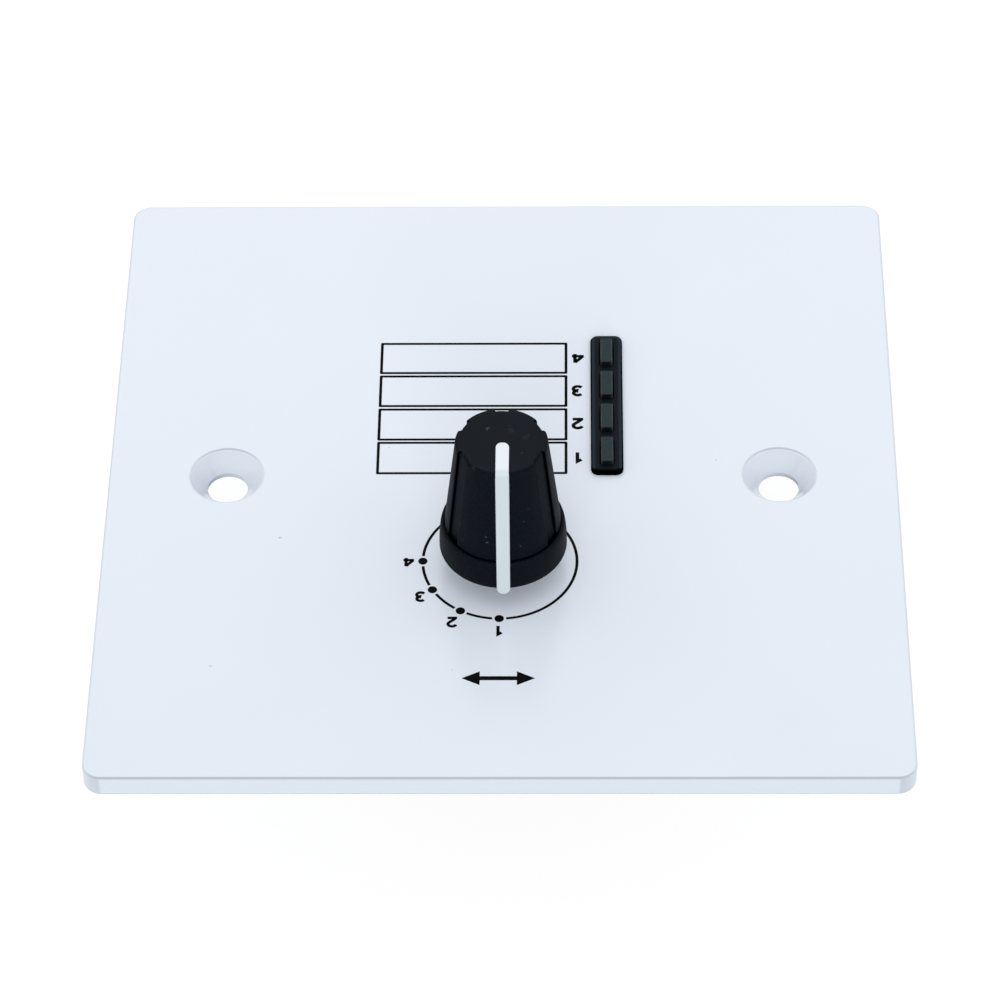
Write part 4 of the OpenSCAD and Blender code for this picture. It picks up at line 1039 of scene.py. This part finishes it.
tracks = {"width": 0.32, "wide": 1.3, "thickness": 0.07, "bend": 0.5, "viaRing": 0.42, "viaHole": 0.17}


def stepRoute(start, level, end, chamfer):   # down, across at a level, and down again
    way = 1 if end[0] > start[0] else -1
    return [start[:2], (start[0], level + chamfer), (start[0] + way * chamfer, level),
            (end[0] - way * chamfer, level), (end[0], level - chamfer), end[:2]]


def trackRoutes(chamfer, levels, tuck, stub, dipDrops, busEnd, feedRow, elbow, padShift, padChamfer,
                laps, headerStubs, looseVias):
    def rise(x, low, high):
        thin.append([(x, low), (x, high)])

    thin, wide, vias = [], [], []
    dialRow = [box for box in resistorBoxes if middle(box).y > 0]
    edgeRow = [box for box in resistorBoxes if middle(box).y < 0]
    for pin, level, lead in zip(boardPins["switch"], levels, chipLeads):
        thin.append(stepRoute(pin, level, (lead, chipBox[1].y), chamfer))
    for box, level, lead in zip(dialRow[1:], levels[5:], chipLeads[5:]):
        thin.append(stepRoute((middle(box).x, box[0].y), level, (lead, chipBox[1].y), chamfer))
    for lead in chipLeads[:8]:
        rise(lead, chipBox[0].y, jackBoxes[1][1].y - tuck)
    for box in edgeRow:
        rise(middle(box).x, box[1].y, jackBoxes[0][0].y + tuck)
    for lead in regulatorLeads[::2]:
        rise(lead, regulatorBox[1].y, regulatorBox[1].y + stub)
        vias.append(thin[-1][1])
    wide.append([(regulatorLeads[1], regulatorBox[0].y), (regulatorLeads[1], jackBoxes[0][1].y - tuck)])
    for box in dialRow[2:]:
        rise(middle(box).x, box[1].y, crystalBox[0].y + tuck)
    for lead, drop in zip(dipLeads, dipDrops):
        rise(lead, dipBox[0].y, dipBox[0].y - drop)
        vias.append(thin[-1][1])
    bus, end = dipBox[1].y + stub, dipLeads[3] + busEnd
    thin.append([(dipLeads[0], dipBox[1].y), (dipLeads[0], bus - chamfer), (dipLeads[0] + chamfer, bus),
                 (end, bus)])
    for lead in dipLeads[1:]:
        rise(lead, dipBox[1].y, bus)
    vias.append((end, bus))
    header = boardPins["header"]
    for pin, box in zip(header[3:], dialRow):
        thin.append(stepRoute(pin, (pin.y + box[1].y) / 2, (middle(box).x + padShift, box[1].y), padChamfer))
    for pin, (dx, dy) in zip(header, headerStubs):
        thin.append([pin[:2], (pin.x, pin.y + dy - dx), (pin.x + dx, pin.y + dy)])
        vias.append(thin[-1][2])
    tab, can = middle(regulatorBox).x, middle(canBoxes[0]).x
    wide.append([(tab, regulatorBox[1].y - laps[0]), (tab, elbow[0]), (can, elbow[1]),
                 (can, canBoxes[0][0].y + tuck)])
    wide.append([(regulatorBox[1].x - laps[0], feedRow), (capacitorBoxes[0][0].x + laps[1], feedRow)])
    return thin, wide, vias + looseVias


def makeTracks(width, wide, thickness, bend, viaRing, viaHole):
    thinRoutes, wideRoutes, vias = trackRoutes(**routes)
    for name, across, lines in (("boardTracks", width, thinRoutes), ("powerTracks", wide, wideRoutes)):
        verts, edges = [], []
        for line in lines:
            edges += [(len(verts) + i, len(verts) + i + 1) for i in range(len(line) - 1)]
            verts += [(x * mm, y * mm, boardRear * mm) for x, y in line]
        paths = bpy.data.meshes.new(name + "Lines")
        paths.from_pydata(verts, edges, [])
        mesh = runTree(name, paths, trackTree, Width=across * mm, Thickness=thickness * mm, Bend=bend * mm,
                       Material=trackMask)
        dress(name, mesh)
    face = boardRear - thickness
    bm = bmesh.new()
    addLathe(bm, softProfile([(viaHole, boardRear, 0), (viaHole, face, 0.02), (viaRing, face, 0.03),
                              (viaRing, boardRear, 0)], 2), steps=20, closed=True)
    repeatPiece("boardVias", bm, vias, giltMetal)


makeTracks(**tracks)

solderSizes = {"pin": (0.95, 0.42, 0.75), "wire": (0.47, 0.27, 0.65)}     # foot, tip and height
solderJoints = {
    "switchSolder": {"pins": "switch", "size": "pin", "surface": boardRear, "way": -1},
    "headerSolder": {"pins": "header", "size": "pin", "surface": boardFront, "way": 1},
    "jackSolder": {"pins": "wires", "size": "wire", "surface": boardFront, "way": 1},
}


def makeSolder(name, pins, size, surface, way, sunk=0.02, hollow=2.2):
    foot, tip, height = solderSizes[size]
    profile = [(0, surface - way * sunk), (foot, surface - way * sunk)]
    for t in (i / 6 for i in range(7)):
        profile.append((tip + (foot - tip) * (1 - t) ** hollow, surface + way * height * t))
    bm = bmesh.new()
    addLathe(bm, profile + [(0, surface + way * height)], steps=20)
    repeatPiece(name, bm, boardPins[pins], solderMetal, wobble=180, seed=5)


for jointName, joint in solderJoints.items():
    makeSolder(jointName, **joint)
print("board made")


# Parts on the board's rear

leads = {
    "chip": {"width": 0.42, "half": 3.75, "rise": 1.25, "reach": 1.4},
    "dip": {"width": 0.6, "half": 3.4, "rise": 1.5, "reach": 1.2},
    "regulator": {"width": 0.7, "half": 1.75, "rise": 0.95, "reach": 1.7},
}
leadShape = {"thick": 0.22, "root": 0.2, "knee": 0.42, "slant": 0.12, "bend": 0.25}


def makeLeads(kind, columns, row, turns, thick, root, knee, slant, bend):
    width, half, rise, reach = leads[kind].values()    # a gull wing lead that points along +Y
    rise, bent, end = rise - thick / 2, half + reach * knee, half + reach
    line = [Vector(p) for p in softProfile([(half - root, rise, 0), (bent, rise, bend),
                                            (bent + slant, thick / 2, bend), (end, thick / 2, 0)], 4)]
    sides = ([], [])
    for i, point in enumerate(line):
        ahead = (line[min(i + 1, len(line) - 1)] - line[max(i - 1, 0)]).normalized()
        for side, way in zip(sides, (1, -1)):
            side.append(point + Vector((-ahead.y, ahead.x)) * way * thick / 2)
    outline = sides[0] + sides[1][::-1]
    bm = bmesh.new()
    bridgeRings(bm, [[addPoint(bm, x, p.x, boardRear - max(p.y, 0.0)) for p in outline]
                     for x in (-width / 2, width / 2)], capped=True)
    repeatPiece(kind + "Leads", bm, [(x, row) for x in columns], tinMetal, turns=turns)


chipBody = {"size": (12.8, 7.5), "height": 2.3, "lift": 0.1, "corner": 0.15, "soft": 0.16}
chipDimple = {"spot": (-5.3, 2.6), "rings": ((0.63, 0), (0.55, 0.03), (0.44, 0.12))}     # radius and depth
regulatorBody = {"size": (6.5, 3.5), "height": 1.6, "lift": 0.1, "corner": 0.12, "soft": 0.14, "margin": 0.3}
regulatorTab = {"spot": (-15.0, -0.5), "size": (3.0, 1.7, 0.3), "root": 0.2, "corner": 0.1, "soft": 0.06}
dipHousing = {"size": (11.66, 6.8), "height": 4.2, "lift": 0.2, "corner": 0.25, "soft": 0.15}
dipWells = {"size": (1.5, 3.3), "depth": 1.6, "corner": 0.11, "lip": 0.06, "margin": 0.12}
dipNumbers = {"tall": 1.1, "bold": 0.2, "drop": 2.55, "proud": 0.01, "sunk": 0.02}


def makeMoulding(name, node, material, spot, pits, size, height, lift, corner, soft, margin=0.4):
    bm = bmesh.new()
    wall = slabWall(size, corner, boardRear - height, boardRear - lift, soft, soft, spot, margin)
    addSlab(bm, wall, pits=pits)
    makePiece(name, bm, material, node)


def makeChip(spot, rings):
    x, y = middle(chipBox)[:2]
    top, pit = boardRear - chipBody["height"], (x + spot[0], y + spot[1])
    dimple = [(circle(radius, 24, pit), top + deep) for radius, deep in rings]
    makeMoulding("controllerChip", "controller_chip", chipEpoxy, (x, y), [dimple], **chipBody)
    makeLeads("chip", chipLeads, y, (0, 180), **leadShape)


def makeRegulator(spot, size, root, corner, soft):
    (x, y), (width, reach, thick) = spot, size
    makeMoulding("regulatorBody", "regulator", chipEpoxy, spot, (), **regulatorBody)
    edge = y - regulatorBody["size"][1] / 2
    bm = bmesh.new()
    addSoftBox(bm, (x - width / 2, edge - reach, boardRear - thick),
               (x + width / 2, edge + root, boardRear), corner, soft)
    makePiece("regulatorTab", bm, tinMetal)
    makeLeads("regulator", regulatorLeads, y, (0,), **leadShape)


def makeDip(wells, numbers):
    x, y = middle(dipBox)[:2]
    top = boardRear - dipHousing["height"]
    pits = [slotWall(wells["size"], wells["corner"], top, top + wells["depth"], wells["lip"], 0.0, (lead, y),
                     wells["margin"]) for lead in dipLeads]
    makeMoulding("dipHousing", "dip_body", redPlastic, (x, y), pits, **dipHousing)
    bm = bmesh.new()
    for i, lead in enumerate(dipLeads):      # read from the rear, so mirrored
        addNumber(bm, 4 - i, (lead, y - numbers["drop"]), numbers["tall"], numbers["bold"],
                  top - numbers["proud"], top + numbers["sunk"], -1)
    makePiece("dipNumbers", bm, silkInk, edges=0)
    makeLeads("dip", dipLeads, y, (0, 180), **leadShape)


makeChip(**chipDimple)
makeRegulator(**regulatorTab)
makeDip(dipWells, dipNumbers)

cans = {
    "radius": 3.15, "height": 5.4, "topRound": 0.4, "grooveAt": 1.9, "groove": 0.22, "grooveHalf": 0.45,
    "grooveRounds": (0.25, 0.15), "footSize": 6.6, "footHeight": 1.0, "footClip": 1.0, "footSoft": 0.1,
    "markShare": 0.36, "markProud": 0.012, "markSunk": 0.018,
    "seatLap": 0.05, "footGap": 0.01, "tab": (0.4, 0.6, 0.3), "tabSoft": 0.05, "tabInset": 0.01,
}


def makeCans(radius, height, topRound, grooveAt, groove, grooveHalf, grooveRounds, footSize, footHeight,
             footClip, footSoft, markShare, markProud, markSunk, seatLap, footGap, tab, tabSoft,
             tabInset):
    spots = [middle(box) for box in canBoxes]
    top, seat, waist = boardRear - height, boardRear - footHeight + seatLap, boardRear - grooveAt
    inner, outer = grooveRounds
    bm = bmesh.new()
    addLathe(bm, softProfile([(0, top, 0), (radius, top, topRound), (radius, waist - grooveHalf, outer),
                              (radius - groove, waist, inner), (radius, waist + grooveHalf, outer),
                              (radius, seat, seatLap), (0, seat, 0)], 5), steps=64)
    repeatPiece("canCapacitors", bm, spots, canMetal, "can_capacitors")
    half = footSize / 2
    slant = half - footClip
    rim = [(half, slant), (slant, half), (-half, half), (-half, -half), (slant, -half), (half, -slant)]
    bm = bmesh.new()
    addSlab(bm, [(rim, seat + footGap), (rim, boardRear)])
    bmesh.ops.bevel(bm, geom=[e for e in bm.edges if e.calc_face_angle(0) > 0.3], offset=footSoft * mm,
                    segments=2, affect="EDGES", profile=0.5, clamp_overlap=True)
    repeatPiece("canFeet", bm, spots, blackPlastic)
    edge, start = radius - topRound, math.acos(markShare)
    turns = [start * (i / 12 - 1) for i in range(25)]
    bm = bmesh.new()
    addPrism(bm, [(edge * math.cos(a), edge * math.sin(a)) for a in turns], top - markProud, top + markSunk)
    repeatPiece("canMarks", bm, spots, printInk)
    reach, wide, thick = tab
    bm = bmesh.new()
    addSoftBox(bm, (half - reach, -wide / 2, boardRear - thick), (half - tabInset, wide / 2, boardRear),
               tabSoft, tabSoft)
    repeatPiece("canTabs", bm, spots, tinMetal, turns=(0, 180))


crystalCan = {"flange": 0.35, "flangeHeight": 0.5, "topRound": 0.6, "neckRound": 0.15,
              "flangeRounds": (0.12, 0.05), "flats": (1.3, 0.8), "endSlack": 0.05, "leastRound": 0.2}


def makeCrystal(flange, flangeHeight, topRound, neckRound, flangeRounds, flats, endSlack, leastRound):
    low, high = crystalBox
    size, ledge = high - low, boardRear - flangeHeight
    corners = [(flats[0], low.z, 0), (flange, low.z, topRound), (flange, ledge, neckRound),
               (0, ledge, flangeRounds[0]), (0, boardRear, flangeRounds[1]), (flats[1], boardRear, 0)]
    bm = bmesh.new()
    addSlab(bm, [(roundRect(size.x - 2 * a, size.y - 2 * a, max(size.y / 2 - endSlack - a, leastRound),
                            12, middle(crystalBox)[:2]), z) for a, z in softProfile(corners)])
    makePiece("crystalCan", bm, zincPlate, "crystal")


makeCans(**cans)
makeCrystal(**crystalCan)

chipParts = {"cap": 0.42, "inset": 0.03, "sunk": 0.04, "corner": 0.06, "soft": 0.05, "fillet": 0.4,
             "climb": 0.7, "filletWidth": 0.94, "filletSunk": 0.02, "filletToe": 0.03, "capLap": 0.6}


def makeChipParts(name, boxes, material, node, cap, inset, sunk, corner, soft, fillet, climb, filletWidth,
                  filletSunk, filletToe, capLap):
    low, high = boxes[0]
    half, wide, tall = (high - low) / 2
    tall, end = tall * 2, half - cap * capLap
    spots = [middle(box) for box in boxes]
    bm = bmesh.new()
    addSoftBox(bm, (-end, inset - wide, boardRear - tall + sunk), (end, wide - inset, boardRear),
               corner, soft)
    repeatPiece(name + "Bodies", bm, spots, material, node)
    bm = bmesh.new()
    addSoftBox(bm, (half - cap, -wide, boardRear - tall), (half, wide, boardRear), corner, soft)
    repeatPiece(name + "Ends", bm, spots, tinMetal, turns=(0, 180))
    root, rise = half - filletSunk, tall * climb   # solder at each end, hollow in its slope
    slope = [(root, 0.0), (half + fillet, 0.0)]
    slope += [(half + fillet * (1 - i / 5) ** 2, filletToe + rise * i / 5) for i in range(6)] + [(root, rise)]
    bm = bmesh.new()
    bridgeRings(bm, [[addPoint(bm, x, y, boardRear - z) for x, z in slope]
                     for y in (-wide * filletWidth, wide * filletWidth)], capped=True)
    repeatPiece(name + "Solder", bm, spots, solderMetal, turns=(0, 180))


makeChipParts("resistor", resistorBoxes, chipEpoxy, "chip_resistors", **chipParts)
makeChipParts("capacitor", capacitorBoxes, tanCeramic, "chip_capacitors", **chipParts)

boardScrew = {"head": 2.75, "headHeight": 2.0, "flat": 1.75, "brow": 0.25, "edge": 0.9,
              "domeRounds": (1.2, 0.4), "shank": 1.5, "soft": 0.1, "tip": (0.35, 0.3), "arm": 1.4,
              "slot": 0.35, "recess": ((1.06, 0), (1, 0.06), (0.82, 1.0))}
washer = {"outer": 3.2, "hole": 1.65, "soft": 0.12, "seam": 0.01}


def makeScrews(head, headHeight, flat, brow, edge, domeRounds, shank, soft, tip, arm, slot, recess):
    low, high = screwBoxes[0]
    top, seat = low.z, low.z + headHeight
    dome = softProfile([(flat, top, 0), (head - brow, top + brow, domeRounds[0]),
                        (head, top + edge, domeRounds[1]), (head, seat, soft), (shank, seat, soft),
                        (shank, high.z - tip[1], soft), (shank - tip[0], high.z, 0)], 6)
    arms = [(arm, -slot), (arm, slot), (slot, slot)]
    cross = [(x * c - y * s, x * s + y * c) for c, s in ((1, 0), (0, 1), (-1, 0), (0, -1)) for x, y in arms]
    pit = [([(x * share, y * share) for x, y in cross], top + deep) for share, deep in recess]
    bm = bmesh.new()
    addSlab(bm, [(circle(radius), z) for radius, z in dome], pits=[pit])
    repeatPiece("boardScrews", bm, boardPins["screws"], zincPlate, "board_screws", wobble=40, seed=11)


def makeWashers(outer, hole, soft, seam):
    low, high = (end.z for end in nodeBox("screw_washers"))
    mid = (low + high) / 2
    bm = bmesh.new()
    addLathe(bm, softProfile([(hole, mid, 0), (hole, low, soft), (outer, low, soft), (outer, high, soft),
                              (hole, high, soft), (hole, mid + seam, 0)], 3), closed=True)
    repeatPiece("screwWashers", bm, boardPins["screws"], zincPlate, "screw_washers", wobble=90, seed=4)


makeScrews(**boardScrew)
makeWashers(**washer)

silkLines = {"stroke": 0.16, "proud": 0.025, "sunk": 0.01, "clear": 0.5, "cornerStep": 0.1,
             "dotRadius": 0.3, "dotSpot": (-1.1, -1.2)}
silkCorners = ((dipBox, 0.2), (chipBox, 0.2), (headerBox, 0.2), (crystalBox, 2.2), (regulatorBox, 0.2),
               (canBoxes[0], 0.6), (canBoxes[1], 0.6), (jackBoxes[0], 0.3), (jackBoxes[1], 0.3))


def makeSilk(stroke, proud, sunk, clear, cornerStep, dotRadius, dotSpot):
    bm = bmesh.new()
    low, high = boardRear - proud, boardRear + sunk
    for box, corner in silkCorners:
        size = [side + 2 * clear for side in box[1] - box[0]]
        rounds = (corner + cornerStep, corner - cornerStep)
        addOutline(bm, size, stroke, rounds, middle(box)[:2], (low, high), 6)
    addPrism(bm, circle(dotRadius, 20, (chipBox[0].x + dotSpot[0], chipBox[1].y + dotSpot[1])), low, high)
    makePiece("boardSilk", bm, silkInk, edges=0)


makeSilk(**silkLines)
print("board parts made")


# Nodes that keep their own shape: a new finish alone, or broken edges too

keptNodes = {
    "knob_core": greyPlastic, "stop_washer": zincPlate, "detent_ring": zincPlate,
    "contact_base": brownLaminate, "switch_contacts": giltMetal, "switch_shaft": dieCast,
    "retaining_ring": zincPlate, "switch_rotor": whitePlastic, "detent_ball": zincPlate,
    "detent_spring": zincPlate, "wiper_contact": giltMetal, "indicator_leds": whitePlastic,
    "jack_contacts_1": giltMetal, "jack_contacts_2": giltMetal,
}
softNodes = {                                # piece, edge and finish
    "pin_header": ("pinHeader", 0.12, blackPlastic), "header_pins": ("headerPins", 0.12, giltMetal),
    "switch_frame": ("switchFrame", 0.2, dieCast), "switch_housing": ("switchHousing", 0.15, blackPlastic),
    "standoffs": ("standoffPosts", 0.25, zincPlate),
    "jack_1": ("jackShell1", 0.15, blackPlastic), "jack_2": ("jackShell2", 0.15, blackPlastic),
}
sliderSoft = 0.1
for nodeName, look in keptNodes.items():
    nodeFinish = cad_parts[nodeName].data.materials
    nodeFinish.clear()
    nodeFinish.append(look)
for nodeName, (pieceName, soft, look) in softNodes.items():
    softCopy(pieceName, nodeName, soft, look)
for number in range(1, 5):
    softCopy("addressSlider%d" % number, "dip_slider_%d" % number, sliderSoft, whitePlastic,
             "address_%d" % number)
print("carried nodes dressed")


# Floor, light and world

studioFloor = {"size": 3.0, "drop": 0.00005, "colour": (0.86, 0.86, 0.86), "glow": 0.93, "shade": 0.1}
lights = {
    "key": {"spot": (-0.03, 0.0, 0.6), "size": (0.5, 0.5), "power": 0.34, "diffuse": True, "gloss": True},
    "front": {"spot": (0.08, 1.6, 0.72), "size": (1.1, 0.8), "power": 11.3, "diffuse": True, "gloss": False},
    "back": {"spot": (0, -0.75, 0.62), "size": (1.2, 0.35), "power": 1.5, "diffuse": False, "gloss": True},
    "low": {"spot": (0.05, 0.8, 0.045), "size": (0.6, 0.12), "power": 0.12, "diffuse": True, "gloss": True},
}
lightColour = (0.98, 0.99, 1.0)
worldLook = {"colour": (0.97, 0.985, 1.0), "strength": 0.82}


def seenShader(tree, lit, seen):             # what lights the object, and what shows behind it
    path = addNode(tree, "ShaderNodeLightPath")
    camera, glossy, clear = (path["Is %s Ray" % kind] for kind in ("Camera", "Glossy", "Transmission"))
    direct = calc(tree, "MAXIMUM", camera, calc(tree, "MAXIMUM", glossy, clear))
    return addNode(tree, "ShaderNodeMixShader", {0: direct, 1: lit, 2: seen})[0]


def makeFloor(size, drop, colour, glow, shade):
    bpy.ops.mesh.primitive_plane_add(size=size, location=(0, 0, cadLow.z - drop))
    floor = bpy.context.object
    floor.name = "studioFloor"
    material = bpy.data.materials.new("paleFloor")
    material.use_nodes = True
    tree = material.node_tree
    tree.nodes.remove(tree.nodes["Principled BSDF"])
    bounce, matt = (addNode(tree, "ShaderNodeBsdfDiffuse", {"Color": rgb(tone)})[0]
                    for tone in (colour, (shade,) * 3))
    glowing = addNode(tree, "ShaderNodeEmission", {"Strength": glow})[0]
    top = seenShader(tree, bounce, addNode(tree, "ShaderNodeAddShader", {0: matt, 1: glowing})[0])
    under = addNode(tree, "ShaderNodeNewGeometry")["Backfacing"]      # clear from below
    clear = addNode(tree, "ShaderNodeBsdfTransparent")[0]
    sided = addNode(tree, "ShaderNodeMixShader", {0: under, 1: top, 2: clear})
    feed(tree, tree.nodes["Material Output"].inputs["Surface"], sided[0])
    floor.data.materials.append(material)


def addLight(name, spot, size, power, diffuse, gloss):
    data = bpy.data.lights.new(name, "AREA")
    data.shape, data.energy, data.color = "RECTANGLE", power, lightColour
    data.size, data.size_y = size
    lamp = addObject(name, data)
    lamp.location = spot
    lamp.visible_diffuse, lamp.visible_glossy = diffuse, gloss
    lamp.rotation_euler = (-Vector(spot)).to_track_quat("-Z", "Y").to_euler()


def makeWorld(colour, strength):
    world = bpy.data.worlds.new("studioWorld")
    world.use_nodes = True
    tree = world.node_tree
    lit = tree.nodes["Background"]
    lit.inputs["Color"].default_value, lit.inputs["Strength"].default_value = rgb(colour), strength
    plain = addNode(tree, "ShaderNodeBackground", {"Color": (1, 1, 1, 1)})[0]
    feed(tree, tree.nodes["World Output"].inputs["Surface"], seenShader(tree, lit.outputs[0], plain))
    bpy.context.scene.world = world


makeFloor(**studioFloor)
for lampName, lamp in lights.items():
    addLight(lampName + "Light", **lamp)
makeWorld(**worldLook)
bpy.context.scene.view_settings.view_transform = "Standard"
print("studio set")
